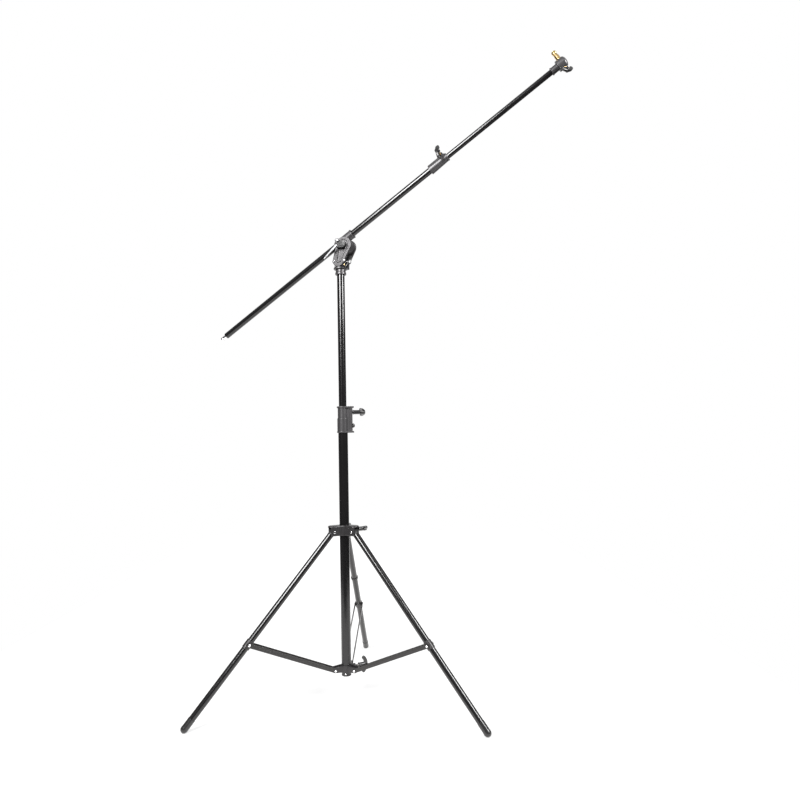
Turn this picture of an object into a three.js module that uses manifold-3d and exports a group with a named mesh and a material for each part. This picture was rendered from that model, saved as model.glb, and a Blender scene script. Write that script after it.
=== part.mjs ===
// An overhead boom arm on a folding three-legged stand, in millimetres.
// +Z is up, and +X is the level direction in which the boom reaches at rest.
// The origin is the centre of the column plug's lower face.
import * as THREE from "three";
import { mergeVertices } from "three/addons/utils/BufferGeometryUtils.js";
import Module from "manifold-3d";

const wasm = await Module();
wasm.setup();

// Clearances and the fineness of round pieces
const SEAT_GAP = 0.3; // between fixed pieces that touch
const RUNNING_GAP = 0.5; // round a piece that slides or turns
const OVERRUN = 3; // how far a cut runs past a face
const WELD = 0.001; // vertices nearer than this are one
const TUBE_SIDES = 24;
const SMALL_SIDES = 12;
const ARC_STEPS = 6; // steps along each arc of an outline

// Column
const COLUMN_DIAMETER = 35;
const COLUMN_WALL = 2;
const UPPER_COLUMN_DIAMETER = 28;
const UPPER_COLUMN_WALL = 1.5;
const UPPER_COLUMN_FOOT = 555; // height of its lower end
const PLUG_RIM = 5; // height of the plug's rim
const PLUG_LENGTH = 30;
const BUSH_RIM = 10;
const BUSH_LENGTH = 22;
const BUSH_BORE_RADIUS = 9.5;

// Lower collar
const COLLAR_RADIUS = 20.5;
const COLLAR_BOTTOM = 15;
const COLLAR_LENGTH = 24;
const COLLAR_PIVOT_RADIUS = 47.5;
const COLLAR_PIVOT_RISE = 12.2; // above the collar's lower face
const COLLAR_EAR_THICKNESS = 5;
const COLLAR_EAR_ROOT = 12; // radius from the column's axis
const COLLAR_EAR_ROOT_RISE = 12;
const COLLAR_EAR_ROOT_RADIUS = 11.5;
const EAR_END_RADIUS = 8.5;
const PLUG_SCREW_HEIGHT = 9;
const PLUG_SCREW_HEAD_RADIUS = 3;
const PLUG_SCREW_SHANK_RADIUS = 1.6;
const PLUG_SCREW_PROUD = 1;
const PLUG_SCREW_DEPTH = 8; // from the column's surface

// Hub
const HUB_BOTTOM = 499;
const HUB_LENGTH = 37;
const HUB_RADIUS = 24;
const HUB_PIVOT_RADIUS = 44.6;
const HUB_PIVOT_RISE = 14.7; // above the hub's lower face
const HUB_LOBE_END = 62;
const HUB_LOBE_HALF_WIDTH = 17.6;
const HUB_TOP_PLATE = 6;
const HUB_SLOT_START = 27;

// Legs
const REAR_LEG_AZIMUTH = 108.4; // degrees from +X
const LEG_COUNT = 3;
const LEG_SPREAD = 41.25; // degrees between a leg and the column
const LEG_DIAMETER = 23;
const LEG_WALL = 1.8;
const KNUCKLE_RADIUS = 12.2;
const KNUCKLE_HALF_WIDTH = 12.2;
const KNUCKLE_SHOULDER = 14; // from the rivet to the tube
const KNUCKLE_LENGTH = 45;
const FLOOR_DROP = 85; // from the column's plug down to the floor
const FOOT_RADIUS = 13;
const FOOT_FLAT_DEPTH = 0.6;
const FOOT_LENGTH = 36;
const BRACKET_HALF_LENGTH = 15;
const BRACKET_RADIUS = 13.5;
const BRACKET_BOSS_RADIUS = 9;
const BRACKET_HALF_WIDTH = 13.7;
const CLIP_PLACE = 289; // along the rear leg from its rivet
const CLIP_WIDTH = 9;
const CLIP_WALL = 2;
const CLIP_HOOK_RADIUS = 9;
const CLIP_HOOK_WIRE_RADIUS = 1.8;

// Braces and rivets
const BRACE_PLACE = 467; // along a leg, from its rivet to the brace's
const STRIP_THICKNESS = 2.5;
const STRIP_HALF_WIDTH = 7.4;
const STRIP_GAP = 0.4; // between a strip and what it straddles
const PIN_RADIUS = 3;
const PIN_HEAD_RADIUS = 4.6;
const PIN_HEAD_HEIGHT = 2;

// Wing knobs: one pattern on six screws
const KNOB_SCREW_RADIUS = 4;
const KNOB_BARREL_RADIUS = 7.5;
const KNOB_SPAN = 60;
const KNOB_BLADE = 13;
const KNOB_THICKNESS = 9;
const KNOB_SWEEP = 40; // degrees on each side of the screw
const KNOB_BOSS_RADIUS = 9;
const KNOB_SIDE_ANGLE = 60; // degrees from the right leg to the knobs between legs
const COLLAR_KNOB_RISE = 13;
const COLLAR_KNOB_CROWN = 82; // from the column's axis to the outer face
const COLLAR_KNOB_BOSS = 34;
const COLLAR_KNOB_BARREL = 54;
const COLLAR_KNOB_ROLL = 5;
const HUB_KNOB_RISE = 18;
const HUB_KNOB_CROWN = 88;
const HUB_KNOB_BOSS = 42;
const HUB_KNOB_BARREL = 56;
const HUB_KNOB_ROLL = 72;

// Column casting
const CASTING_BOTTOM = 870;
const CASTING_LOWER_LENGTH = 53; // on the lower tube
const CASTING_UPPER_LENGTH = 44; // round the upper tube
const CASTING_LOWER_RADIUS = 20.5;
const CASTING_UPPER_RADIUS = 18.4;
const CASTING_AZIMUTH = 23.5; // degrees from +X to its boss
const CASTING_FLANGE_HEIGHT = 6;
const CASTING_FLANGE_RADIUS = 21.8;
const CASTING_FLANGE_END = 40.7;
const CASTING_FLANGE_NOSE_RADIUS = 12;
const CASTING_BOSS_END = 35.2;
const CASTING_BOSS_HALF_WIDTH = 10.5;
const COLUMN_KNOB_RISE = 22; // above the end of the lower tube
const COLUMN_KNOB_CROWN = 83;
const COLUMN_KNOB_BARREL = 36.2;
const COLUMN_KNOB_ROLL = 70;
const CLAMP_SCREW_RISE = 26; // above the casting's lower face
const CLAMP_SCREW_HEAD_RADIUS = 8;
const CLAMP_SCREW_HEAD_LENGTH = 8.5;
const CLAMP_SCREW_SHANK_RADIUS = 3;

// Tilt head: base, cheeks and block
const NECK_RING_HEIGHT = 1456;
const NECK_RING_LENGTH = 8;
const NECK_RING_RADIUS = 20.3;
const NECK_RADIUS = 18.4;
const NECK_LENGTH = 11.5;
const HEAD_FLANGE_RADIUS = 26;
const HEAD_FLANGE_HEIGHT = 6;
const HEAD_SOCKET_DEPTH = 26;
const PIVOT_OFFSET = 25; // from the column's axis, and from the boom's axis
const PIVOT_RISE = 104.2; // above the neck ring's lower face, as all heights of the head
const FRONT_CHEEK_RADIUS = 31;
const BACK_CHEEK_RADIUS = 28.5;
const CHEEK_RIM_RADIUS = 24;
const CHEEK_RIM_PROUD = 1.2;
const CHEEK_FOOT_RADIUS = 22;
const CHEEK_FOOT_OFFSET = 2.5; // from the column's axis
const CHEEK_FOOT_RISE = 48.5;
const HEAD_FRONT = 26; // from the column's axis to the front cheek's face
const HEAD_BACK = 27;
const HEAD_SLOT_HALF_WIDTH = 16.8;
const HEAD_FLOOR_RISE = 52;
const HEAD_BLOCK_BACK = 17;
const HEAD_BLOCK_FRONT = 23;
const CHEEK_SCREW_LUG_RADIUS = 6.5;
const CHEEK_SCREW_HEAD_RADIUS = 4;
const CHEEK_SCREW_SHANK_RADIUS = 2;
const CHEEK_SCREW_SHANK_LENGTH = 20;
const CHEEK_SCREW_HEAD_HEIGHT = 2.4;
const CHEEK_SCREW_RISE = 46.5;
const CHEEK_SCREW_BACK = 14.5;
const CHEEK_SCREW_FRONT = 27;
const HEAD_KNOB_AZIMUTH = -36.5;
const HEAD_KNOB_RISE = 32;
const HEAD_KNOB_BOSS_RADIUS = 7;
const HEAD_KNOB_BOSS_END = 35;
const HEAD_KNOB_BARREL = 46;
const HEAD_KNOB_CROWN = 74;
const HEAD_KNOB_ROLL = -27;
const AXLE_RADIUS = 5;
const AXLE_HEAD_RADIUS = 9;
const AXLE_HEAD_LENGTH = 6;
const AXLE_FRONT_REACH = 12; // past the front cheek, inside the lever's hub
const BLOCK_DRUM_RADIUS = 26;
const SLEEVE_RADIUS = 16.3;
const SLEEVE_BACK = 30; // from the pivot, against the boom's reach
const SLEEVE_FRONT = 46;
const SLEEVE_RIM_LENGTH = 6;
const SLEEVE_RIM_RADIUS = 17.4;

// Tilt lever and release plunger, placed from the pivot
const LEVER_HUB_RADIUS = 14;
const LEVER_HUB_LENGTH = 14;
const LEVER_LUG_LENGTH = 20.5;
const LEVER_LUG_DROP = 5;
const LEVER_LUG_RADIUS = 6.5;
const LEVER_LUG_THICKNESS = 8;
const LEVER_ARM_LENGTH = 65;
const LEVER_ARM_ANGLE = 221; // degrees, seen from the front
const LEVER_ARM_ROOT_RADIUS = 4.5;
const LEVER_ARM_END_RADIUS = 2.8;
const LEVER_ARM_THICKNESS = 4;
const PLUNGER_BACK = 22;
const PLUNGER_RISE = 17;
const PLUNGER_RADIUS = 8;
const PLUNGER_LENGTH = 11;
const PLUNGER_PIN_RADIUS = 2.5;
const PLUNGER_LUG_RADIUS = 9.5;

// Boom, measured along it from the pivot
const BOOM_RISE = 30.75; // degrees above the level at rest
const LOWER_BOOM_DIAMETER = 23;
const LOWER_BOOM_WALL = 1.5;
const LOWER_BOOM_TAIL = -615;
const LOWER_BOOM_FRONT = 440;
const UPPER_BOOM_DIAMETER = 19;
const UPPER_BOOM_WALL = 1.5;
const UPPER_BOOM_TAIL = 30;
const STUD_RADIUS = 7;
const STUD_LENGTH = 25;
const STUD_PLUG_LENGTH = 26;
const JOINT_GRIP = 34; // length of the sleeve's lap on the lower tube
const JOINT_LENGTH = 76;
const JOINT_START_RADIUS = 16.5;
const JOINT_END_RADIUS = 13.8;
const JOINT_RIM_LENGTH = 4;
const JOINT_RIM_RADIUS = 14.8;
const JOINT_RIB_LENGTH = 60;
const JOINT_RIB_TOP = 19.5;
const JOINT_RIB_HALF_WIDTH = 7;
const JOINT_KNOB_REACH = 59.5; // from the sleeve's start
const JOINT_KNOB_LEAN = 66; // degrees from straight up towards the front
const JOINT_KNOB_CROWN = 55;
const JOINT_KNOB_BARREL = 42;
const JOINT_KNOB_ROLL = 72;
const JOINT_BOSS_END = 28;
const JOINT_SCREW_REACH = 68;
const JOINT_SCREW_RADIUS = 3.6;
const JOINT_SCREW_TOP = 20;
const JOINT_SCREW_SHANK_RADIUS = 1.8;

// Boom tip
const TIP_COLLAR_START = 907;
const TIP_COLLAR_LENGTH = 4;
const TIP_COLLAR_RADIUS = 13.2;
const TIP_SOCKET_RADIUS = 12;
const TIP_SOCKET_LENGTH = 24;
const TIP_NECK_RADIUS = 9;
const TIP_NECK_LENGTH = 6;
const TIP_TUBE_DEPTH = 20;
const BARREL_RADIUS = 19;
const BARREL_LENGTH = 34;
const BARREL_CROWN = 10; // height of its domed end
const SPIGOT_DIAMETER = 15.9;
const SPIGOT_HEIGHT = 56; // its end, above the boom's axis
const SPIGOT_FOOT = 8; // how far it reaches below the boom's axis
const SPIGOT_WAIST_RADIUS = 6.5;
const SPIGOT_WAIST_START = 36;
const SPIGOT_WAIST_END = 46;
const SPIGOT_CHAMFER = 1.2;
const TIP_LEAN = 6; // degrees that the spigot leans back at rest
const TIP_KNOB_CROWN = 38.5;
const TIP_KNOB_BARREL = 23.5;
const TIP_KNOB_ROLL = -52;

// Finishes
const glossBlack = finish(0x16161a, 0.2, 0.1);
const castingGrey = finish(0x6c6a6b, 0.45, 0.55);
const stripGrey = finish(0x57514f, 0.5, 0.4);
const brightSteel = finish(0xd0d0d2, 0.2, 1);
const brass = finish(0xd9b160, 0.22, 1);
const knobBlack = finish(0x1a1a1c, 0.25, 0);
const leverGrey = finish(0xb4b5b8, 0.35, 0.8);
const nylonBlack = finish(0x202022, 0.6, 0);

function finish(color, roughness, metalness) {
  return new THREE.MeshStandardMaterial({ color, roughness, metalness });
}

const radians = THREE.MathUtils.degToRad;

// Solids: three.js makes the shapes, and manifold-3d joins and cuts them.
function toSolid(geometry) {
  const bare = geometry.index ? geometry.toNonIndexed() : geometry.clone();
  bare.deleteAttribute("normal");
  bare.deleteAttribute("uv");
  const merged = mergeVertices(bare, WELD);
  const mesh = new wasm.Mesh({
    numProp: 3,
    vertProperties: merged.attributes.position.array,
    triVerts: new Uint32Array(merged.index.array),
  });
  return new wasm.Manifold(mesh);
}

function toGeometry(solid) {
  const { vertProperties, triVerts } = solid.getMesh();
  return new THREE.BufferGeometry()
    .setAttribute("position", new THREE.BufferAttribute(vertProperties, 3))
    .setIndex(new THREE.BufferAttribute(triVerts, 1));
}

const join = (...parts) => toGeometry(parts.map(toSolid).reduce((whole, part) => whole.add(part)));

function cut(body, ...tools) {
  return toGeometry(tools.map(toSolid).reduce((left, tool) => left.subtract(tool), toSolid(body)));
}

// A geometry that was made along +Y, turned to lie along another axis.
function along(axis, geometry) {
  if (axis === "z") geometry.rotateX(Math.PI / 2);
  if (axis === "x") geometry.rotateZ(-Math.PI / 2);
  return geometry;
}

function rod(axis, radius, from, to, sides = TUBE_SIDES) {
  const length = to - from;
  const geometry = new THREE.CylinderGeometry(radius, radius, length, sides);
  return along(axis, geometry.translate(0, from + length / 2, 0));
}

// A round piece from its half outline of [radius, place along the axis].
function turned(axis, outline, sides = TUBE_SIDES) {
  const points = outline.map(([radius, place]) => new THREE.Vector2(radius, place));
  return along(axis, new THREE.LatheGeometry(points, sides));
}

function tube(axis, outer, inner, from, to, sides = TUBE_SIDES) {
  const outline = [[inner, from], [outer, from], [outer, to], [inner, to], [inner, from]];
  return turned(axis, outline, sides);
}

function box(x0, x1, y0, y1, z0, z1) {
  const geometry = new THREE.BoxGeometry(x1 - x0, y1 - y0, z1 - z0);
  return geometry.translate((x0 + x1) / 2, (y0 + y1) / 2, (z0 + z1) / 2);
}

// The outline of a belt drawn round two discs.
function beltShape(x1, y1, r1, x2, y2, r2) {
  const direction = Math.atan2(y2 - y1, x2 - x1);
  const spread = Math.acos((r1 - r2) / Math.hypot(x2 - x1, y2 - y1));
  const shape = new THREE.Shape();
  shape.absarc(x1, y1, r1, direction + spread, direction - spread + 2 * Math.PI, false);
  shape.absarc(x2, y2, r2, direction - spread, direction + spread, false);
  return shape;
}

// A level plate: the shape's x and y are the part's.
function levelPlate(shape, from, to) {
  const options = { depth: to - from, bevelEnabled: false, curveSegments: ARC_STEPS };
  return new THREE.ExtrudeGeometry(shape, options).translate(0, 0, from);
}

// An upright plate: the shape's x and y are the part's x and z.
function uprightPlate(shape, from, to) {
  return levelPlate(shape, -to, -from).rotateX(Math.PI / 2);
}

const legRadius = LEG_DIAMETER / 2;
const legBore = legRadius - LEG_WALL;
const columnRadius = COLUMN_DIAMETER / 2;
const columnBore = columnRadius - COLUMN_WALL;
const upperColumnRadius = UPPER_COLUMN_DIAMETER / 2;
const upperColumnBore = upperColumnRadius - UPPER_COLUMN_WALL;
const lowerBoomRadius = LOWER_BOOM_DIAMETER / 2;
const lowerBoomBore = lowerBoomRadius - LOWER_BOOM_WALL;
const upperBoomRadius = UPPER_BOOM_DIAMETER / 2;
const upperBoomBore = upperBoomRadius - UPPER_BOOM_WALL;
const spigotRadius = SPIGOT_DIAMETER / 2;
const screwBore = KNOB_SCREW_RADIUS + SEAT_GAP;
const pinBore = PIN_RADIUS + SEAT_GAP;
const stripInner = BRACKET_HALF_WIDTH + STRIP_GAP;
const stripOuter = stripInner + STRIP_THICKNESS;

const collarTop = COLLAR_BOTTOM + COLLAR_LENGTH;
const collarPivotHeight = COLLAR_BOTTOM + COLLAR_PIVOT_RISE;
const collarKnobHeight = COLLAR_BOTTOM + COLLAR_KNOB_RISE;
const hubTop = HUB_BOTTOM + HUB_LENGTH;
const hubPivotHeight = HUB_BOTTOM + HUB_PIVOT_RISE;
const hubKnobHeight = HUB_BOTTOM + HUB_KNOB_RISE;
const castingStep = CASTING_BOTTOM + CASTING_LOWER_LENGTH;
const castingTop = castingStep + CASTING_UPPER_LENGTH;
const columnKnobHeight = castingStep + COLUMN_KNOB_RISE;
const clampScrewHeight = CASTING_BOTTOM + CLAMP_SCREW_RISE;
const pivotHeight = NECK_RING_HEIGHT + PIVOT_RISE;
const cheekFootHeight = NECK_RING_HEIGHT + CHEEK_FOOT_RISE;
const headFloorHeight = NECK_RING_HEIGHT + HEAD_FLOOR_RISE;
const cheekScrewHeight = NECK_RING_HEIGHT + CHEEK_SCREW_RISE;
const headKnobHeight = NECK_RING_HEIGHT + HEAD_KNOB_RISE;
const jointStart = LOWER_BOOM_FRONT - JOINT_GRIP;
const jointEnd = jointStart + JOINT_LENGTH;
const jointRibEnd = jointStart + JOINT_RIB_LENGTH;
const jointKnobPlace = jointStart + JOINT_KNOB_REACH;
const jointScrewPlace = jointStart + JOINT_SCREW_REACH;
const tipSocketEnd = TIP_COLLAR_START + TIP_SOCKET_LENGTH;

const legAzimuths = {
  rear: radians(REAR_LEG_AZIMUTH),
  left: radians(REAR_LEG_AZIMUTH + 360 / LEG_COUNT),
  right: radians(REAR_LEG_AZIMUTH - 360 / LEG_COUNT),
};
const sideKnobAzimuth = legAzimuths.right + radians(KNOB_SIDE_ANGLE);

const part = new THREE.Group();

function frame(parent, x, y, z, azimuth = 0, dip = 0, roll = 0) {
  const group = new THREE.Group();
  group.position.set(x, y, z);
  group.rotation.set(roll, dip, azimuth, "ZYX");
  parent.add(group);
  return group;
}

function add(parent, name, geometry, material) {
  const mesh = new THREE.Mesh(geometry, material);
  mesh.name = name;
  parent.add(mesh);
  return mesh;
}

// A wing knob on its screw, along +X: screw, barrel and two blades swept back.
function wingKnob(screwTip, barrelStart, crown, roll) {
  const sweep = radians(KNOB_SWEEP);
  const half = KNOB_BLADE / 2;
  const midRadius = (KNOB_SPAN - KNOB_BLADE) / (2 * Math.sin(sweep));
  const centre = crown - midRadius - half;
  const tipX = centre + midRadius * Math.cos(sweep);
  const tipY = midRadius * Math.sin(sweep);
  const shape = new THREE.Shape();
  shape.absarc(centre, 0, midRadius + half, -sweep, sweep, false);
  shape.absarc(tipX, tipY, half, sweep, sweep + Math.PI, false);
  shape.absarc(centre, 0, midRadius - half, sweep, -sweep, true);
  shape.absarc(tipX, -tipY, half, Math.PI - sweep, 2 * Math.PI - sweep, false);
  const blades = uprightPlate(shape, -KNOB_THICKNESS / 2, KNOB_THICKNESS / 2);
  const barrel = rod("x", KNOB_BARREL_RADIUS, barrelStart, crown - half, SMALL_SIDES);
  const screw = rod("x", KNOB_SCREW_RADIUS, screwTip, crown - half, SMALL_SIDES);
  return join(blades, barrel, screw).rotateX(radians(roll));
}

// A rivet or pin along Y with a flat head at each end.
function pin(halfGrip) {
  const end = halfGrip + PIN_HEAD_HEIGHT;
  return turned("y", [
    [0, -end],
    [PIN_HEAD_RADIUS, -end],
    [PIN_HEAD_RADIUS, -halfGrip],
    [PIN_RADIUS, -halfGrip],
    [PIN_RADIUS, halfGrip],
    [PIN_HEAD_RADIUS, halfGrip],
    [PIN_HEAD_RADIUS, end],
    [0, end],
  ], SMALL_SIDES);
}

// Column: the lower tube, its plug and the screw that holds the plug
const tubeTop = castingStep - SEAT_GAP;
const plugScrewAzimuth = legAzimuths.left + radians(KNOB_SIDE_ANGLE);
const plugScrewTip = columnRadius - PLUG_SCREW_DEPTH;
const plugScrewHole = rod(
  "x", PLUG_SCREW_SHANK_RADIUS + SEAT_GAP, plugScrewTip - SEAT_GAP, columnRadius + OVERRUN, SMALL_SIDES,
)
  .translate(0, 0, PLUG_SCREW_HEIGHT)
  .rotateZ(plugScrewAzimuth);
add(
  part,
  "outer_column",
  cut(tube("z", columnRadius, columnBore, PLUG_RIM + SEAT_GAP, tubeTop), plugScrewHole),
  glossBlack,
);
const plugBody = turned("z", [
  [0, 0],
  [columnRadius, 0],
  [columnRadius, PLUG_RIM],
  [columnBore - SEAT_GAP, PLUG_RIM],
  [columnBore - SEAT_GAP, PLUG_LENGTH],
  [0, PLUG_LENGTH],
]);
add(part, "column_end_plug", cut(plugBody, plugScrewHole), nylonBlack);
const plugScrewSeat = columnRadius + SEAT_GAP;
add(
  frame(part, 0, 0, PLUG_SCREW_HEIGHT, plugScrewAzimuth),
  "end_plug_screw",
  turned("x", [
    [0, plugScrewTip],
    [PLUG_SCREW_SHANK_RADIUS, plugScrewTip],
    [PLUG_SCREW_SHANK_RADIUS, plugScrewSeat],
    [PLUG_SCREW_HEAD_RADIUS, plugScrewSeat],
    [PLUG_SCREW_HEAD_RADIUS, plugScrewSeat + PLUG_SCREW_PROUD],
    [0, plugScrewSeat + PLUG_SCREW_PROUD],
  ], SMALL_SIDES),
  brightSteel,
);

// Lower collar: three pairs of ears and a boss for the knob
const collarBore = columnRadius + RUNNING_GAP;
const earOuter = stripInner - STRIP_GAP;
const earInner = earOuter - COLLAR_EAR_THICKNESS;
const collarEars = Object.values(legAzimuths).flatMap((azimuth) =>
  [-1, 1].map((side) => {
    const outline = beltShape(
      COLLAR_PIVOT_RADIUS, collarPivotHeight, EAR_END_RADIUS,
      COLLAR_EAR_ROOT, COLLAR_BOTTOM + COLLAR_EAR_ROOT_RISE, COLLAR_EAR_ROOT_RADIUS,
    );
    const [from, to] = side > 0 ? [earInner, earOuter] : [-earOuter, -earInner];
    const hole = rod("y", pinBore, -stripOuter, stripOuter, SMALL_SIDES);
    hole.translate(COLLAR_PIVOT_RADIUS, 0, collarPivotHeight);
    return cut(uprightPlate(outline, from, to), hole).rotateZ(azimuth);
  }),
);
const collarBoss = rod("x", KNOB_BOSS_RADIUS, columnRadius, COLLAR_KNOB_BOSS)
  .translate(0, 0, collarKnobHeight)
  .rotateZ(sideKnobAzimuth);
const collarScrewHole = rod("x", screwBore, 0, COLLAR_KNOB_BOSS + OVERRUN, SMALL_SIDES)
  .translate(0, 0, collarKnobHeight)
  .rotateZ(sideKnobAzimuth);
add(
  part,
  "lower_collar",
  cut(
    join(rod("z", COLLAR_RADIUS, COLLAR_BOTTOM, collarTop), collarBoss, ...collarEars),
    rod("z", collarBore, COLLAR_BOTTOM - OVERRUN, collarTop + OVERRUN),
    collarScrewHole,
  ),
  castingGrey,
);
const collarKnobFrame = frame(part, 0, 0, collarKnobHeight, sideKnobAzimuth);
add(
  collarKnobFrame,
  "collar_wing_knob",
  wingKnob(columnRadius + SEAT_GAP, COLLAR_KNOB_BARREL, COLLAR_KNOB_CROWN, COLLAR_KNOB_ROLL),
  knobBlack,
);

// Hub: a ring on the column with three slotted lobes
const slotHalfWidth = KNUCKLE_HALF_WIDTH + RUNNING_GAP;
const hubLobes = [];
const hubCuts = [rod("z", columnRadius + RUNNING_GAP, HUB_BOTTOM - OVERRUN, hubTop + OVERRUN)];
for (const azimuth of Object.values(legAzimuths)) {
  const end = HUB_LOBE_END - HUB_LOBE_HALF_WIDTH;
  const plan = beltShape(0, 0, HUB_LOBE_HALF_WIDTH, end, 0, HUB_LOBE_HALF_WIDTH);
  const slot = box(
    HUB_SLOT_START, HUB_LOBE_END + OVERRUN,
    -slotHalfWidth, slotHalfWidth,
    HUB_BOTTOM - OVERRUN, hubTop - HUB_TOP_PLATE,
  );
  const pinReach = HUB_LOBE_HALF_WIDTH + OVERRUN;
  const pinHole = rod("y", pinBore, -pinReach, pinReach, SMALL_SIDES);
  pinHole.translate(HUB_PIVOT_RADIUS, 0, hubPivotHeight);
  hubLobes.push(levelPlate(plan, HUB_BOTTOM, hubTop).rotateZ(azimuth));
  hubCuts.push(slot.rotateZ(azimuth), pinHole.rotateZ(azimuth));
}
const hubBoss = rod("x", KNOB_BOSS_RADIUS, columnRadius, HUB_KNOB_BOSS)
  .translate(0, 0, hubKnobHeight)
  .rotateZ(sideKnobAzimuth);
const hubScrewHole = rod("x", screwBore, 0, HUB_KNOB_BOSS + OVERRUN, SMALL_SIDES)
  .translate(0, 0, hubKnobHeight)
  .rotateZ(sideKnobAzimuth);
add(
  part,
  "hub_casting",
  cut(join(rod("z", HUB_RADIUS, HUB_BOTTOM, hubTop), hubBoss, ...hubLobes), ...hubCuts, hubScrewHole),
  castingGrey,
);
const hubKnobFrame = frame(part, 0, 0, hubKnobHeight, sideKnobAzimuth);
add(
  hubKnobFrame,
  "hub_wing_knob",
  wingKnob(columnRadius + RUNNING_GAP, HUB_KNOB_BARREL, HUB_KNOB_CROWN, HUB_KNOB_ROLL),
  knobBlack,
);

// Legs and braces, each drawn along +X from its own rivet
const spread = radians(LEG_SPREAD);
const footHeight = FOOT_RADIUS - FOOT_FLAT_DEPTH - FLOOR_DROP;
const footPlace = (hubPivotHeight - footHeight) / Math.cos(spread);
const braceRun = HUB_PIVOT_RADIUS + BRACE_PLACE * Math.sin(spread) - COLLAR_PIVOT_RADIUS;
const braceClimb = hubPivotHeight - BRACE_PLACE * Math.cos(spread) - collarPivotHeight;
const braceLength = Math.hypot(braceRun, braceClimb);
const braceRise = Math.atan2(braceClimb, braceRun);

function legKnuckle() {
  const body = join(
    rod("y", KNUCKLE_RADIUS, -KNUCKLE_HALF_WIDTH, KNUCKLE_HALF_WIDTH),
    rod("x", legRadius, 0, KNUCKLE_SHOULDER - SEAT_GAP),
    rod("x", legBore - SEAT_GAP, 0, KNUCKLE_LENGTH),
  );
  return cut(body, rod("y", pinBore, -HUB_LOBE_END, HUB_LOBE_END, SMALL_SIDES));
}

function legFoot() {
  const start = footPlace - FOOT_LENGTH;
  const socket = legRadius + SEAT_GAP;
  const dome = [];
  for (let step = 0; step <= SMALL_SIDES / 4; step++) {
    const angle = (step / SMALL_SIDES) * 2 * Math.PI;
    dome.push([FOOT_RADIUS * Math.cos(angle), footPlace + FOOT_RADIUS * Math.sin(angle)]);
  }
  dome[dome.length - 1][0] = 0;
  const outline = [[0, footPlace], [socket, footPlace], [socket, start], [FOOT_RADIUS, start], ...dome];
  const reach = 2 * FOOT_RADIUS;
  const ground = box(-reach, reach, -reach, reach, -reach, FOOT_FLAT_DEPTH - FOOT_RADIUS);
  const tilt = Math.PI / 2 - spread;
  return cut(turned("x", outline), ground.rotateY(-tilt).translate(footPlace, 0, 0));
}

function braceBracket() {
  const from = BRACE_PLACE - BRACKET_HALF_LENGTH;
  const to = BRACE_PLACE + BRACKET_HALF_LENGTH;
  const boss = rod("y", BRACKET_BOSS_RADIUS, -BRACKET_HALF_WIDTH, BRACKET_HALF_WIDTH);
  const body = join(rod("x", BRACKET_RADIUS, from, to), boss.translate(BRACE_PLACE, 0, 0));
  return cut(body, rod("x", legRadius + SEAT_GAP, from - OVERRUN, to + OVERRUN));
}

// The rear leg's clip: a band with a wire hook standing up from it.
function legClip() {
  const from = CLIP_PLACE - CLIP_WIDTH / 2;
  const to = CLIP_PLACE + CLIP_WIDTH / 2;
  const inner = legRadius + SEAT_GAP;
  const band = tube("x", inner + CLIP_WALL, inner, from, to);
  const root = new THREE.Vector3(CLIP_PLACE, 0, inner + CLIP_WALL / 2);
  const rise = CLIP_HOOK_RADIUS + CLIP_WALL;
  const hookCurve = new THREE.CatmullRomCurve3([
    root,
    new THREE.Vector3(CLIP_PLACE - CLIP_WIDTH, 0, inner + rise),
    new THREE.Vector3(CLIP_PLACE - CLIP_WIDTH - CLIP_HOOK_RADIUS, 0, inner + rise + CLIP_WALL),
    new THREE.Vector3(CLIP_PLACE - CLIP_WIDTH - 2 * CLIP_HOOK_RADIUS, 0, inner + rise),
  ]);
  const section = new THREE.Shape().absarc(0, 0, CLIP_HOOK_WIRE_RADIUS, 0, 2 * Math.PI, false);
  const options = { steps: SMALL_SIDES, curveSegments: 3, extrudePath: hookCurve };
  return join(band, new THREE.ExtrudeGeometry(section, options));
}

for (const [side, azimuth] of Object.entries(legAzimuths)) {
  const reach = HUB_PIVOT_RADIUS;
  const leg = frame(
    part,
    reach * Math.cos(azimuth), reach * Math.sin(azimuth), hubPivotHeight,
    azimuth, Math.PI / 2 - spread,
  );
  const legTube = tube("x", legRadius, legBore, KNUCKLE_SHOULDER, footPlace - SEAT_GAP);
  add(leg, "leg_tube_" + side, legTube, glossBlack);
  add(leg, "leg_knuckle_" + side, legKnuckle(), nylonBlack);
  add(leg, "leg_foot_" + side, legFoot(), nylonBlack);
  add(leg, "brace_bracket_" + side, braceBracket(), castingGrey);
  if (side === "rear") add(leg, "rear_leg_clip", legClip(), nylonBlack);
  add(leg, "leg_pin_" + side, pin(HUB_LOBE_HALF_WIDTH + SEAT_GAP), brightSteel);

  const collarReach = COLLAR_PIVOT_RADIUS;
  const brace = frame(
    part,
    collarReach * Math.cos(azimuth), collarReach * Math.sin(azimuth), collarPivotHeight,
    azimuth, -braceRise,
  );
  const outline = beltShape(0, 0, STRIP_HALF_WIDTH, braceLength, 0, STRIP_HALF_WIDTH);
  const hole = rod("y", pinBore, -stripOuter - OVERRUN, stripOuter + OVERRUN, SMALL_SIDES);
  const places = { inner: [-stripOuter, -stripInner], outer: [stripInner, stripOuter] };
  for (const [face, [from, to]] of Object.entries(places)) {
    const strip = cut(uprightPlate(outline, from, to), hole);
    add(brace, "brace_strip_" + side + "_" + face, strip, stripGrey);
  }
  add(brace, "brace_pin_" + side, pin(stripOuter + SEAT_GAP), brightSteel);
}

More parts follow.
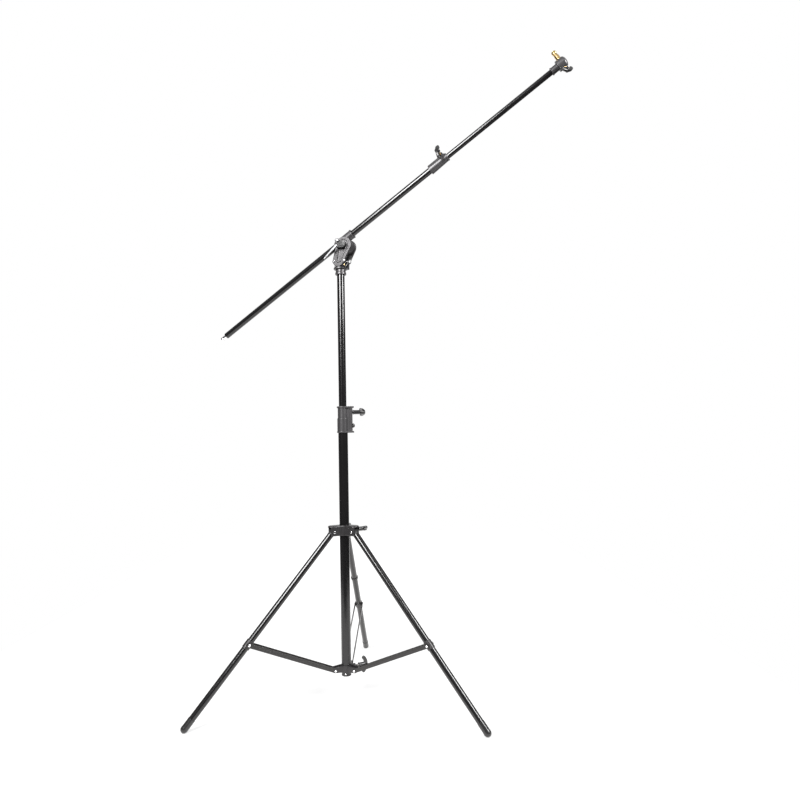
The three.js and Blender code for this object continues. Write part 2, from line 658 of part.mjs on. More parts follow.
// Column casting: flanges, two bores and a boss for the screws
const castingSeat = columnRadius + SEAT_GAP;
const castingGuide = upperColumnRadius + RUNNING_GAP;
const flangePlan = beltShape(
  0, 0, CASTING_FLANGE_RADIUS,
  CASTING_FLANGE_END - CASTING_FLANGE_NOSE_RADIUS, 0, CASTING_FLANGE_NOSE_RADIUS,
);
const castingFrame = frame(part, 0, 0, 0, radians(CASTING_AZIMUTH));
const clampScrewSeat = CASTING_BOSS_END + SEAT_GAP;
add(
  castingFrame,
  "column_casting",
  cut(
    join(
      rod("z", CASTING_LOWER_RADIUS, CASTING_BOTTOM, castingStep),
      rod("z", CASTING_UPPER_RADIUS, castingStep - OVERRUN, castingTop),
      box(
        0, CASTING_BOSS_END,
        -CASTING_BOSS_HALF_WIDTH, CASTING_BOSS_HALF_WIDTH,
        CASTING_BOTTOM, castingTop,
      ),
      levelPlate(flangePlan, CASTING_BOTTOM, CASTING_BOTTOM + CASTING_FLANGE_HEIGHT),
      levelPlate(flangePlan, castingTop - CASTING_FLANGE_HEIGHT, castingTop),
    ),
    rod("z", castingSeat, CASTING_BOTTOM - OVERRUN, castingStep),
    rod("z", castingGuide, CASTING_BOTTOM, castingTop + OVERRUN),
    rod("x", screwBore, 0, CASTING_BOSS_END + OVERRUN, SMALL_SIDES).translate(0, 0, columnKnobHeight),
    rod("x", CLAMP_SCREW_SHANK_RADIUS + SEAT_GAP, 0, CASTING_BOSS_END + OVERRUN, SMALL_SIDES)
      .translate(0, 0, clampScrewHeight),
  ),
  castingGrey,
);
const clampScrewFrame = frame(castingFrame, 0, 0, clampScrewHeight);
const clampDome = CLAMP_SCREW_HEAD_RADIUS / 2;
add(
  clampScrewFrame,
  "column_clamp_screw",
  turned("x", [
    [0, columnRadius + SEAT_GAP],
    [CLAMP_SCREW_SHANK_RADIUS, columnRadius + SEAT_GAP],
    [CLAMP_SCREW_SHANK_RADIUS, clampScrewSeat],
    [CLAMP_SCREW_HEAD_RADIUS, clampScrewSeat],
    [CLAMP_SCREW_HEAD_RADIUS, clampScrewSeat + CLAMP_SCREW_HEAD_LENGTH - clampDome],
    [clampDome, clampScrewSeat + CLAMP_SCREW_HEAD_LENGTH],
    [0, clampScrewSeat + CLAMP_SCREW_HEAD_LENGTH],
  ], SMALL_SIDES),
  knobBlack,
);
const columnKnobFrame = frame(castingFrame, 0, 0, columnKnobHeight);
add(
  columnKnobFrame,
  "column_wing_knob",
  wingKnob(upperColumnRadius + SEAT_GAP, COLUMN_KNOB_BARREL, COLUMN_KNOB_CROWN, COLUMN_KNOB_ROLL),
  knobBlack,
);

// Upper column, its guide bush and the ring under the head
const neckBottom = NECK_RING_HEIGHT + NECK_RING_LENGTH + RUNNING_GAP;
const socketTop = neckBottom + HEAD_SOCKET_DEPTH;
add(
  part,
  "upper_column_tube",
  tube("z", upperColumnRadius, upperColumnBore, UPPER_COLUMN_FOOT, socketTop - SEAT_GAP),
  glossBlack,
);
const bushTop = UPPER_COLUMN_FOOT - SEAT_GAP;
add(
  part,
  "upper_column_bush",
  turned("z", [
    [BUSH_BORE_RADIUS, bushTop - BUSH_RIM],
    [columnBore - RUNNING_GAP, bushTop - BUSH_RIM],
    [columnBore - RUNNING_GAP, bushTop],
    [upperColumnBore - SEAT_GAP, bushTop],
    [upperColumnBore - SEAT_GAP, bushTop - BUSH_RIM + BUSH_LENGTH],
    [BUSH_BORE_RADIUS, bushTop - BUSH_RIM + BUSH_LENGTH],
    [BUSH_BORE_RADIUS, bushTop - BUSH_RIM],
  ]),
  nylonBlack,
);
const neckBore = upperColumnRadius + SEAT_GAP;
add(
  part,
  "neck_ring",
  tube("z", NECK_RING_RADIUS, neckBore, NECK_RING_HEIGHT, NECK_RING_HEIGHT + NECK_RING_LENGTH),
  castingGrey,
);

// Head base: neck, flange, block and rear cheek in one casting
const flangeBottom = neckBottom + NECK_LENGTH;
const flangeTop = flangeBottom + HEAD_FLANGE_HEIGHT;
const frontCheekInner = -HEAD_SLOT_HALF_WIDTH - SEAT_GAP;
const cheekOutline = (ringRadius) => beltShape(
  PIVOT_OFFSET, pivotHeight, ringRadius,
  CHEEK_FOOT_OFFSET, cheekFootHeight, CHEEK_FOOT_RADIUS,
);
const axleHole = rod("y", AXLE_RADIUS + SEAT_GAP, -HEAD_FRONT - OVERRUN, HEAD_BACK + OVERRUN);
axleHole.translate(PIVOT_OFFSET, 0, pivotHeight);
const cheekScrewPlaces = { back: -CHEEK_SCREW_BACK, front: CHEEK_SCREW_FRONT };
const cheekScrewLugs = [];
const cheekScrewHoles = [];
for (const place of Object.values(cheekScrewPlaces)) {
  const lug = rod("y", CHEEK_SCREW_LUG_RADIUS, -HEAD_FRONT, frontCheekInner, SMALL_SIDES);
  const holeRadius = CHEEK_SCREW_SHANK_RADIUS + SEAT_GAP;
  const depth = CHEEK_SCREW_SHANK_LENGTH + SEAT_GAP;
  const hole = rod("y", holeRadius, -HEAD_FRONT - OVERRUN, depth - HEAD_FRONT, SMALL_SIDES);
  cheekScrewLugs.push(lug.translate(place, 0, cheekScrewHeight));
  cheekScrewHoles.push(hole.translate(place, 0, cheekScrewHeight));
}
const headKnobAzimuth = radians(HEAD_KNOB_AZIMUTH);
const headBoss = rod("x", HEAD_KNOB_BOSS_RADIUS, upperColumnRadius, HEAD_KNOB_BOSS_END)
  .translate(0, 0, headKnobHeight)
  .rotateZ(headKnobAzimuth);
const headScrewHole = rod("x", screwBore, 0, HEAD_KNOB_BOSS_END + OVERRUN, SMALL_SIDES)
  .translate(0, 0, headKnobHeight)
  .rotateZ(headKnobAzimuth);
add(
  part,
  "head_base",
  cut(
    join(
      rod("z", NECK_RADIUS, neckBottom, flangeTop),
      rod("z", HEAD_FLANGE_RADIUS, flangeBottom, flangeTop),
      box(
        -HEAD_BLOCK_BACK, HEAD_BLOCK_FRONT,
        -HEAD_SLOT_HALF_WIDTH, HEAD_BACK,
        flangeTop - OVERRUN, headFloorHeight,
      ),
      uprightPlate(cheekOutline(BACK_CHEEK_RADIUS), HEAD_SLOT_HALF_WIDTH, HEAD_BACK),
      headBoss,
    ),
    rod("z", neckBore, neckBottom - OVERRUN, socketTop),
    rod("z", lowerBoomRadius + RUNNING_GAP, neckBottom, headFloorHeight + OVERRUN),
    axleHole,
    headScrewHole,
    ...cheekScrewHoles,
  ),
  castingGrey,
);

// Front cheek: its own plate, screwed to the block
const plungerX = PIVOT_OFFSET - PLUNGER_BACK;
const plungerZ = pivotHeight + PLUNGER_RISE;
const rimFace = HEAD_FRONT + CHEEK_RIM_PROUD;
const cheekRim = rod("y", CHEEK_RIM_RADIUS, -rimFace, frontCheekInner);
const plungerLug = rod("y", PLUNGER_LUG_RADIUS, -HEAD_FRONT, frontCheekInner, SMALL_SIDES);
const plungerHole = rod("y", PLUNGER_PIN_RADIUS + SEAT_GAP, -rimFace - OVERRUN, 0, SMALL_SIDES);
const bossWay = rod("x", HEAD_KNOB_BOSS_RADIUS + SEAT_GAP, 0, HEAD_KNOB_BOSS_END + OVERRUN)
  .translate(0, 0, headKnobHeight)
  .rotateZ(headKnobAzimuth);
add(
  part,
  "head_front_cheek",
  cut(
    join(
      uprightPlate(cheekOutline(FRONT_CHEEK_RADIUS), -HEAD_FRONT, frontCheekInner),
      cheekRim.translate(PIVOT_OFFSET, 0, pivotHeight),
      plungerLug.translate(plungerX, 0, plungerZ),
      ...cheekScrewLugs,
    ),
    axleHole,
    bossWay,
    plungerHole.translate(plungerX, 0, plungerZ),
    ...cheekScrewHoles,
  ),
  castingGrey,
);
for (const [name, place] of Object.entries(cheekScrewPlaces)) {
  const seat = -HEAD_FRONT - SEAT_GAP;
  const screw = turned("y", [
    [0, seat - CHEEK_SCREW_HEAD_HEIGHT],
    [CHEEK_SCREW_HEAD_RADIUS, seat - CHEEK_SCREW_HEAD_HEIGHT],
    [CHEEK_SCREW_HEAD_RADIUS, seat],
    [CHEEK_SCREW_SHANK_RADIUS, seat],
    [CHEEK_SCREW_SHANK_RADIUS, CHEEK_SCREW_SHANK_LENGTH - HEAD_FRONT],
    [0, CHEEK_SCREW_SHANK_LENGTH - HEAD_FRONT],
  ], SMALL_SIDES);
  add(frame(part, place, 0, cheekScrewHeight), "cheek_screw_" + name, screw, brightSteel);
}

// Pivot axle, lever, plunger and knob of the head
const pivotFrame = frame(part, PIVOT_OFFSET, 0, pivotHeight);
const axleFront = -rimFace - AXLE_FRONT_REACH;
const axleSeat = HEAD_BACK + SEAT_GAP;
add(
  pivotFrame,
  "tilt_axle",
  join(
    rod("y", AXLE_RADIUS, axleFront, axleSeat + AXLE_HEAD_LENGTH, SMALL_SIDES),
    rod("y", AXLE_HEAD_RADIUS, axleSeat, axleSeat + AXLE_HEAD_LENGTH, 6),
  ),
  brightSteel,
);
const leverBack = -rimFace - SEAT_GAP;
const leverFront = leverBack - LEVER_HUB_LENGTH;
const lugOutline = beltShape(
  0, 0, LEVER_HUB_RADIUS - SEAT_GAP,
  -LEVER_LUG_LENGTH, -LEVER_LUG_DROP, LEVER_LUG_RADIUS,
);
const armAngle = radians(LEVER_ARM_ANGLE);
const armOutline = beltShape(
  -LEVER_LUG_LENGTH, -LEVER_LUG_DROP, LEVER_ARM_ROOT_RADIUS,
  LEVER_ARM_LENGTH * Math.cos(armAngle) - LEVER_LUG_LENGTH,
  LEVER_ARM_LENGTH * Math.sin(armAngle) - LEVER_LUG_DROP, LEVER_ARM_END_RADIUS,
);
const axleRecess = rod("y", AXLE_RADIUS + SEAT_GAP, axleFront - SEAT_GAP, 0);
add(
  pivotFrame,
  "tilt_lever_hub",
  cut(
    join(
      rod("y", LEVER_HUB_RADIUS, leverFront, leverBack),
      uprightPlate(lugOutline, leverFront, leverFront + LEVER_LUG_THICKNESS),
    ),
    axleRecess,
  ),
  knobBlack,
);
const armBack = leverFront - SEAT_GAP;
add(
  pivotFrame,
  "tilt_lever_arm",
  uprightPlate(armOutline, armBack - LEVER_ARM_THICKNESS, armBack),
  leverGrey,
);
const plungerFrame = frame(part, plungerX, 0, plungerZ);
const plungerBack = -rimFace - SEAT_GAP;
add(
  plungerFrame,
  "release_plunger",
  turned("y", [
    [0, plungerBack - PLUNGER_LENGTH],
    [PLUNGER_RADIUS / 2, plungerBack - PLUNGER_LENGTH],
    [PLUNGER_RADIUS, plungerBack - PLUNGER_LENGTH / 2],
    [PLUNGER_RADIUS, plungerBack],
    [PLUNGER_PIN_RADIUS, plungerBack],
    [PLUNGER_PIN_RADIUS, frontCheekInner],
    [0, frontCheekInner],
  ], SMALL_SIDES),
  brightSteel,
);
const headKnobFrame = frame(part, 0, 0, headKnobHeight, headKnobAzimuth);
add(
  headKnobFrame,
  "head_wing_knob",
  wingKnob(upperColumnRadius + SEAT_GAP, HEAD_KNOB_BARREL, HEAD_KNOB_CROWN, HEAD_KNOB_ROLL),
  knobBlack,
);

// Tilting block: a drum on the axle and the sleeve that the boom slides in
const tiltFrame = frame(part, PIVOT_OFFSET, 0, pivotHeight, 0, -radians(BOOM_RISE));
const boomFrame = frame(tiltFrame, 0, 0, PIVOT_OFFSET);
const drumHalfWidth = HEAD_SLOT_HALF_WIDTH - RUNNING_GAP;
const boomBore = lowerBoomRadius + RUNNING_GAP;
const sleeve = join(
  rod("x", SLEEVE_RADIUS, -SLEEVE_BACK, SLEEVE_FRONT),
  rod("x", SLEEVE_RIM_RADIUS, SLEEVE_FRONT - SLEEVE_RIM_LENGTH, SLEEVE_FRONT),
).translate(0, 0, PIVOT_OFFSET);
const boomWay = rod("x", boomBore, -SLEEVE_BACK - OVERRUN, SLEEVE_FRONT + OVERRUN);
add(
  tiltFrame,
  "boom_clamp",
  cut(
    join(rod("y", BLOCK_DRUM_RADIUS, -drumHalfWidth, drumHalfWidth), sleeve),
    boomWay.translate(0, 0, PIVOT_OFFSET),
    rod("y", AXLE_RADIUS + RUNNING_GAP, -HEAD_SLOT_HALF_WIDTH, HEAD_SLOT_HALF_WIDTH),
  ),
  castingGrey,
);

// Lower boom: tube, tail stud and the sleeve that clamps the upper tube
add(
  boomFrame,
  "lower_boom_tube",
  tube("x", lowerBoomRadius, lowerBoomBore, LOWER_BOOM_TAIL, LOWER_BOOM_FRONT),
  glossBlack,
);
const studSeat = LOWER_BOOM_TAIL - SEAT_GAP;
add(
  boomFrame,
  "tail_stud",
  turned("x", [
    [0, studSeat - STUD_LENGTH],
    [STUD_RADIUS, studSeat - STUD_LENGTH],
    [STUD_RADIUS, LOWER_BOOM_TAIL],
    [lowerBoomBore - SEAT_GAP, LOWER_BOOM_TAIL],
    [lowerBoomBore - SEAT_GAP, LOWER_BOOM_TAIL + STUD_PLUG_LENGTH],
    [0, LOWER_BOOM_TAIL + STUD_PLUG_LENGTH],
  ]),
  brightSteel,
);
const knobLean = radians(JOINT_KNOB_LEAN);
const jointBoss = rod("z", KNOB_BOSS_RADIUS, 0, JOINT_BOSS_END)
  .rotateX(knobLean)
  .translate(jointKnobPlace, 0, 0);
const jointScrewHole = rod("z", screwBore, 0, JOINT_BOSS_END + OVERRUN, SMALL_SIDES)
  .rotateX(knobLean)
  .translate(jointKnobPlace, 0, 0);
const jointSmallHole = rod("z", JOINT_SCREW_SHANK_RADIUS + SEAT_GAP, 0, JOINT_SCREW_TOP, SMALL_SIDES)
  .translate(jointScrewPlace, 0, 0);
const jointStep = LOWER_BOOM_FRONT + SEAT_GAP;
add(
  boomFrame,
  "boom_joint_sleeve",
  cut(
    join(
      turned("x", [
        [0, jointStart],
        [JOINT_START_RADIUS, jointStart],
        [JOINT_END_RADIUS, jointEnd - JOINT_RIM_LENGTH],
        [JOINT_RIM_RADIUS, jointEnd - JOINT_RIM_LENGTH],
        [JOINT_RIM_RADIUS, jointEnd],
        [0, jointEnd],
      ]),
      box(
        jointStart, jointRibEnd,
        -JOINT_RIB_HALF_WIDTH, JOINT_RIB_HALF_WIDTH,
        0, JOINT_RIB_TOP,
      ),
      jointBoss,
    ),
    rod("x", lowerBoomRadius + SEAT_GAP, jointStart - OVERRUN, jointStep),
    rod("x", upperBoomRadius + RUNNING_GAP, jointStart, jointEnd + OVERRUN),
    jointScrewHole,
    jointSmallHole,
  ),
  castingGrey,
);
const jointScrewFrame = frame(boomFrame, jointScrewPlace, 0, 0);
const jointScrewSeat = JOINT_RIM_RADIUS + SEAT_GAP;
add(
  jointScrewFrame,
  "sleeve_clamp_screw",
  turned("z", [
    [0, upperBoomRadius + SEAT_GAP],
    [JOINT_SCREW_SHANK_RADIUS, upperBoomRadius + SEAT_GAP],
    [JOINT_SCREW_SHANK_RADIUS, jointScrewSeat],
    [JOINT_SCREW_RADIUS, jointScrewSeat],
    [JOINT_SCREW_RADIUS, JOINT_SCREW_TOP],
    [0, JOINT_SCREW_TOP],
  ], SMALL_SIDES),
  brightSteel,
);
const leanFrame = frame(boomFrame, jointKnobPlace, 0, 0, 0, 0, knobLean);
const sleeveKnobFrame = frame(leanFrame, 0, 0, 0, 0, -Math.PI / 2);
add(
  sleeveKnobFrame,
  "sleeve_wing_knob",
  wingKnob(upperBoomRadius + SEAT_GAP, JOINT_KNOB_BARREL, JOINT_KNOB_CROWN, JOINT_KNOB_ROLL),
  knobBlack,
);

// Upper boom with the tip's socket
const tubeEnd = TIP_COLLAR_START + TIP_TUBE_DEPTH;
add(
  boomFrame,
  "upper_boom_tube",
  tube("x", upperBoomRadius, upperBoomBore, UPPER_BOOM_TAIL, tubeEnd),
  glossBlack,
);
const collarFace = TIP_COLLAR_START + TIP_COLLAR_LENGTH;
const neckEnd = tipSocketEnd + TIP_NECK_LENGTH;
const socketBore = upperBoomRadius + SEAT_GAP;
add(
  boomFrame,
  "tip_socket",
  turned("x", [
    [socketBore, TIP_COLLAR_START],
    [TIP_COLLAR_RADIUS, TIP_COLLAR_START],
    [TIP_COLLAR_RADIUS, collarFace],
    [TIP_SOCKET_RADIUS, collarFace],
    [TIP_SOCKET_RADIUS, tipSocketEnd],
    [TIP_NECK_RADIUS, tipSocketEnd],
    [TIP_NECK_RADIUS, neckEnd],
    [0, neckEnd],
    [0, tubeEnd + SEAT_GAP],
    [socketBore, tubeEnd + SEAT_GAP],
    [socketBore, TIP_COLLAR_START],
  ]),
  castingGrey,
);

// Tip barrel with the spigot across it, and the knob that clamps the spigot
const barrelStart = tipSocketEnd + SEAT_GAP;
const barrelEnd = barrelStart + BARREL_LENGTH;
const spigotPlace = barrelStart + BARREL_LENGTH / 2;
const tipFrame = frame(boomFrame, spigotPlace, 0, 0, 0, 0, -radians(TIP_LEAN));
const barrelHalf = BARREL_LENGTH / 2;
const neckRecess = neckEnd + RUNNING_GAP - spigotPlace;
add(
  tipFrame,
  "tip_barrel",
  cut(
    turned("x", [
      [0, -barrelHalf],
      [BARREL_RADIUS, -barrelHalf],
      [BARREL_RADIUS, barrelHalf - BARREL_CROWN],
      [BARREL_RADIUS * Math.cos(Math.PI / 6), barrelHalf - BARREL_CROWN * (1 - Math.sin(Math.PI / 6))],
      [BARREL_RADIUS * Math.cos(Math.PI / 3), barrelHalf - BARREL_CROWN * (1 - Math.sin(Math.PI / 3))],
      [0, barrelHalf],
    ]),
    rod("x", TIP_NECK_RADIUS + RUNNING_GAP, -barrelHalf - OVERRUN, neckRecess),
    rod("z", spigotRadius + RUNNING_GAP, -SPIGOT_FOOT - SEAT_GAP, SPIGOT_HEIGHT),
    rod("z", screwBore, -BARREL_RADIUS - OVERRUN, 0, SMALL_SIDES),
  ),
  castingGrey,
);
add(
  tipFrame,
  "spigot",
  turned("z", [
    [0, -SPIGOT_FOOT],
    [spigotRadius, -SPIGOT_FOOT],
    [spigotRadius, SPIGOT_WAIST_START],
    [SPIGOT_WAIST_RADIUS, SPIGOT_WAIST_START + SPIGOT_CHAMFER],
    [SPIGOT_WAIST_RADIUS, SPIGOT_WAIST_END - SPIGOT_CHAMFER],
    [spigotRadius, SPIGOT_WAIST_END],
    [spigotRadius, SPIGOT_HEIGHT - SPIGOT_CHAMFER],
    [spigotRadius - SPIGOT_CHAMFER, SPIGOT_HEIGHT],
    [0, SPIGOT_HEIGHT],
  ]),
  brass,
);
const tipKnobFrame = frame(tipFrame, 0, 0, 0, 0, Math.PI / 2);
add(
  tipKnobFrame,
  "tip_wing_knob",
  wingKnob(SPIGOT_FOOT + SEAT_GAP, TIP_KNOB_BARREL, TIP_KNOB_CROWN, TIP_KNOB_ROLL),
  knobBlack,
);

export default part;
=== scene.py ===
# %% [markdown]
# # An overhead boom arm on its stand
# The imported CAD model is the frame: it says where every piece is and what it rides on.
# Each step below makes one group of pieces a little better than the plain solids do:
# round tubes with eased rims, castings with soft cast edges, threads, rivets and paint.

# %% Load the frame
import math

import bmesh
import bpy
import numpy as np
from mathutils import Matrix, Quaternion, Vector


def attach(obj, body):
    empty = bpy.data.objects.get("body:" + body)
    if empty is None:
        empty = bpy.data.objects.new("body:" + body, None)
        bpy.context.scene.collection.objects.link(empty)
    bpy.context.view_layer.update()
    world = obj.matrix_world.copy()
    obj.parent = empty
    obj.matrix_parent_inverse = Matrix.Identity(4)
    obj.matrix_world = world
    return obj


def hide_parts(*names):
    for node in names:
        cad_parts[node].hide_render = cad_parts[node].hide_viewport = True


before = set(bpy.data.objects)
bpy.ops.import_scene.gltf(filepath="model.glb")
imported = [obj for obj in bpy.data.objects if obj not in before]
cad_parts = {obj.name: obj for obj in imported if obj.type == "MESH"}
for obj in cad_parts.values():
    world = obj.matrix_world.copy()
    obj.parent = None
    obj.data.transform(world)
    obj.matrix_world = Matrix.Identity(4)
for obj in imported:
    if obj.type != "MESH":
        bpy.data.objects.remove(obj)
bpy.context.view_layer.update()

# %% [markdown]
# ## Camera
# The photograph looks level across the stand from about 2.4 m, a little below the middle of the
# object, so the head and the tip are seen from below and the feet from above. A camera could be
# aimed by eye; matching the lines of the tubes is surer. It is written as a point and three turns.

# %% Camera
CAMERA_PLACE = Vector((1.1035, -2.1292, 0.8572))
CAMERA_YAW = 1.125  # degrees to the right of the stand's own facing
CAMERA_PITCH = -3.102  # degrees; below zero looks up
CAMERA_ROLL = 1.101
STAND_FACING = 23.47  # degrees from the picture's right to the boom's reach
FOCAL_PIXELS = 650.42
IMAGE_PIXELS = 800
SENSOR = 36  # mm

yaw, pitch, roll = (math.radians(a) for a in (CAMERA_YAW, CAMERA_PITCH, CAMERA_ROLL))
to_object = Matrix.Rotation(math.radians(STAND_FACING), 3, "Z")
ahead = math.cos(pitch)
forward = Vector((math.sin(yaw) * ahead, math.cos(yaw) * ahead, -math.sin(pitch)))
level_right = Vector((math.cos(yaw), -math.sin(yaw), 0))
straight_down = forward.cross(level_right)
right = level_right * math.cos(roll) + straight_down * math.sin(roll)
down = straight_down * math.cos(roll) - level_right * math.sin(roll)
axes = Matrix([to_object @ right, to_object @ -down, to_object @ -forward]).transposed()
camera_data = bpy.data.cameras.new("camera")
camera_data.sensor_width = SENSOR
camera_data.lens = SENSOR * FOCAL_PIXELS / IMAGE_PIXELS
camera = bpy.data.objects.new("camera", camera_data)
bpy.context.scene.collection.objects.link(camera)
camera.matrix_world = Matrix.Translation(CAMERA_PLACE) @ axes.to_4x4()
bpy.context.scene.camera = camera
print("camera lens", round(camera_data.lens, 2), "mm")

# %% [markdown]
# ## Shader maths as plain expressions
# A material is a small sum: paint colour plus a little mottling, and so on.
# Node by node that is slow to read, so one small class wraps a socket, and writing
# `noise * 0.2 + 0.3` adds the Math nodes. Every other node comes from `node`.

# %% Socket maths
class Value:
    """One output of a node, which can be added, subtracted and multiplied."""

    def __init__(self, paint, socket):
        self.paint, self.socket = paint, socket

    def maths(self, operation, first, second):
        made = self.paint.node("ShaderNodeMath", {"operation": operation}, {0: first, 1: second})
        return made["Value"]

    def __add__(self, other):
        return self.maths("ADD", self, other)

    __radd__ = __add__

    def __mul__(self, other):
        return self.maths("MULTIPLY", self, other)

    __rmul__ = __mul__

    def __sub__(self, other):
        return self.maths("SUBTRACT", self, other)

    def __rsub__(self, other):
        return self.maths("SUBTRACT", other, self)


print("socket maths: + - *")

# %% [markdown]
# ## The node maker
# Nodes could be typed one by one with their links. `node` takes the type, the settings and what
# goes into each socket, so a material reads from its first noise to its shader. Colours are mixed
# with a Mix node, because a Math node would turn them grey.

# %% Node maker
MIX_FIRST, MIX_SECOND, MIX_RESULT = 6, 7, 2  # the colour sockets of a Mix node


class Node:
    """A node whose outputs are read by name."""

    def __init__(self, paint, made):
        self.paint, self.made = paint, made

    def __getitem__(self, output):
        return Value(self.paint, self.made.outputs[output])


class Paint:
    """A material, or the world, under construction."""

    def __init__(self, owner):
        owner.use_nodes = True
        self.owner, self.tree = owner, owner.node_tree
        self.tree.nodes.clear()

    def node(self, kind, settings=None, inputs=None):
        made = self.tree.nodes.new(kind)
        for name, value in (settings or {}).items():
            setattr(made, name, value)
        for name, value in (inputs or {}).items():
            if isinstance(value, Value):
                self.tree.links.new(value.socket, made.inputs[name])
            else:
                made.inputs[name].default_value = value
        return Node(self, made)

    def noise(self, scale, detail=3, stretch=(1, 1, 1), roughness=0.55):
        place = self.node("ShaderNodeTexCoord")["Object"]
        placed = self.node("ShaderNodeMapping", {}, {"Vector": place, "Scale": stretch})
        inputs = {"Vector": placed["Vector"], "Scale": scale}
        inputs |= {"Detail": detail, "Roughness": roughness}
        return self.node("ShaderNodeTexNoise", {}, inputs)["Fac"]

    def ramp(self, value, low, high, start=0.0, end=1.0):
        inputs = {"Value": value, "From Min": low, "From Max": high}
        inputs |= {"To Min": start, "To Max": end}
        return self.node("ShaderNodeMapRange", {"clamp": True}, inputs)["Result"]

    def blend(self, share, first, second):
        one, other = (c if isinstance(c, Value) else (*c, 1) for c in (first, second))
        inputs = {0: share, MIX_FIRST: one, MIX_SECOND: other}
        return self.node("ShaderNodeMix", {"data_type": "RGBA"}, inputs)[MIX_RESULT]

    def bump(self, height, strength, distance):
        inputs = {"Height": height, "Strength": strength, "Distance": distance}
        return self.node("ShaderNodeBump", {}, inputs)["Normal"]

    def output(self, shader, kind="ShaderNodeOutputMaterial"):
        self.node(kind, {}, {"Surface": shader})
        return self.owner


def material(name):
    return Paint(bpy.data.materials.new(name))


def surface(paint, **inputs):
    """The one shader that every finish ends in; underscores stand for spaces."""
    named = {key.replace("_", " "): value for key, value in inputs.items()}
    shader = paint.node("ShaderNodeBsdfPrincipled", {}, named)
    print("finish", paint.owner.name, len(paint.tree.nodes), "nodes")
    return paint.output(shader["BSDF"])


# %% [markdown]
# ## Lacquer
# The tubes are gloss black lacquer. A flat black would do from far off, but real lacquer is never
# even: it has a faint orange peel, and sliding leaves hair-fine rubbed lines along the tube, so
# that noise is stretched along one axis. The brace strips have it too, duller and browner.

# %% Lacquer for tubes and strips
WORN_GAIN = 1.8  # how much lighter a rubbed or scuffed black is


def lacquer(name, colour, roughness, lines_along):
    paint = material(name)
    mottle = paint.noise(60, 2)
    peel = paint.noise(260, 1)
    stretch = {"x": (0.02, 1, 1), "z": (1, 1, 0.02), "none": (1, 1, 1)}[lines_along]
    rubbed = paint.ramp(paint.noise(700, 1, stretch), 0.6, 0.8)
    dust = paint.ramp(paint.noise(14, 3), 0.45, 0.75)
    worn = tuple(c * WORN_GAIN + 0.002 for c in colour)
    base = paint.blend(rubbed * 0.25 + dust * 0.12, colour, worn)
    rough = mottle * 0.012 + rubbed * 0.012 + dust * 0.015 + (roughness - 0.014)
    return surface(
        paint, Base_Color=base, Roughness=rough, Specular_IOR_Level=0.45,
        Coat_Weight=0.1, Coat_Roughness=0.16, Normal=paint.bump(peel, 0.01, 0.0001),
    )


BLACK = (0.0046, 0.0043, 0.0046)
column_black = lacquer("column_black_lacquer", BLACK, 0.19, "z")
boom_black = lacquer("boom_black_lacquer", BLACK, 0.19, "x")
strip_black = lacquer("strip_satin_black", (0.010, 0.0092, 0.0090), 0.34, "none")


# %% [markdown]
# ## Cast metal
# The castings are zinc painted a satin grey with a fine sparkle, a little lighter where the paint
# is thin. Half a share of Metallic gives the harder gloss of flakes in the paint, which a second
# layer could give too, at the cost of more nodes. The collar and the hub are darker.

# %% Cast metal
def casting(name, colour, roughness, metallic):
    paint = material(name)
    skin = paint.noise(320, 3, roughness=0.6)
    sparkle = paint.ramp(paint.noise(1500, 1), 0.6, 0.75)
    pools = paint.ramp(paint.noise(38, 3), 0.35, 0.7)
    thin = tuple(c * 1.35 + 0.004 for c in colour)
    base = paint.blend(pools * 0.25 + sparkle * 0.2, colour, thin)
    rough = skin * 0.03 + pools * 0.02 + (roughness - 0.025)
    return surface(
        paint, Base_Color=base, Metallic=metallic, Roughness=rough,
        Normal=paint.bump(skin, 0.03, 0.0002),
    )


casting_grey = casting("casting_satin_grey", (0.056, 0.054, 0.056), 0.37, 0.5)
collar_grey = casting("collar_dark_grey", (0.024, 0.0225, 0.0235), 0.37, 0.35)
lever_grey = casting("lever_light_grey", (0.22, 0.22, 0.225), 0.36, 0.8)


# %% [markdown]
# ## Bright metal
# Brass and steel show fine turning lines round their axis, so the noise is stretched across it,
# and stains of handling that dull them in patches.

# %% Bright metal
def bright(name, colour, roughness):
    paint = material(name)
    turning = paint.noise(1800, 2, (1, 0.15, 0.15))
    stain = paint.ramp(paint.noise(120, 4), 0.45, 0.8)
    dull = tuple(c * 0.72 for c in colour)
    return surface(
        paint, Base_Color=paint.blend(stain * 0.4, colour, dull), Metallic=1.0,
        Roughness=turning * 0.03 + stain * 0.04 + (roughness - 0.025),
        Normal=paint.bump(turning, 0.03, 0.00005),
    )


polished_steel = bright("polished_steel", (0.80, 0.80, 0.81), 0.16)
yellow_brass = bright("yellow_brass", (0.86, 0.62, 0.29), 0.2)
# A dark grey metal for the screws and inserts of the three lower knobs: painted shade, a shaded
# copy of the brass that the upper knobs show.
thread_metal_painted_shade = bright("thread_metal_painted_shade", (0.16, 0.155, 0.15), 0.34)


# %% [markdown]
# ## Plastic and rubber
# The knobs are glossy plastic, so they have a thin coat; nylon and rubber are matte with a fine
# grain. One maker serves them all, with the coat and the grain as its settings.

# %% Moulded plastic and rubber
def moulded(name, colour, roughness, coat, grain):
    paint = material(name)
    skin = paint.noise(grain, 3)
    scuff = paint.ramp(paint.noise(90, 5), 0.5, 0.8)
    rubbed = tuple(c * WORN_GAIN + 0.003 for c in colour)
    return surface(
        paint, Base_Color=paint.blend(scuff * 0.35, colour, rubbed),
        Coat_Weight=coat, Coat_Roughness=0.1,
        Roughness=skin * 0.03 + scuff * 0.04 + (roughness - 0.025),
        Normal=paint.bump(skin, 0.05, 0.0001),
    )


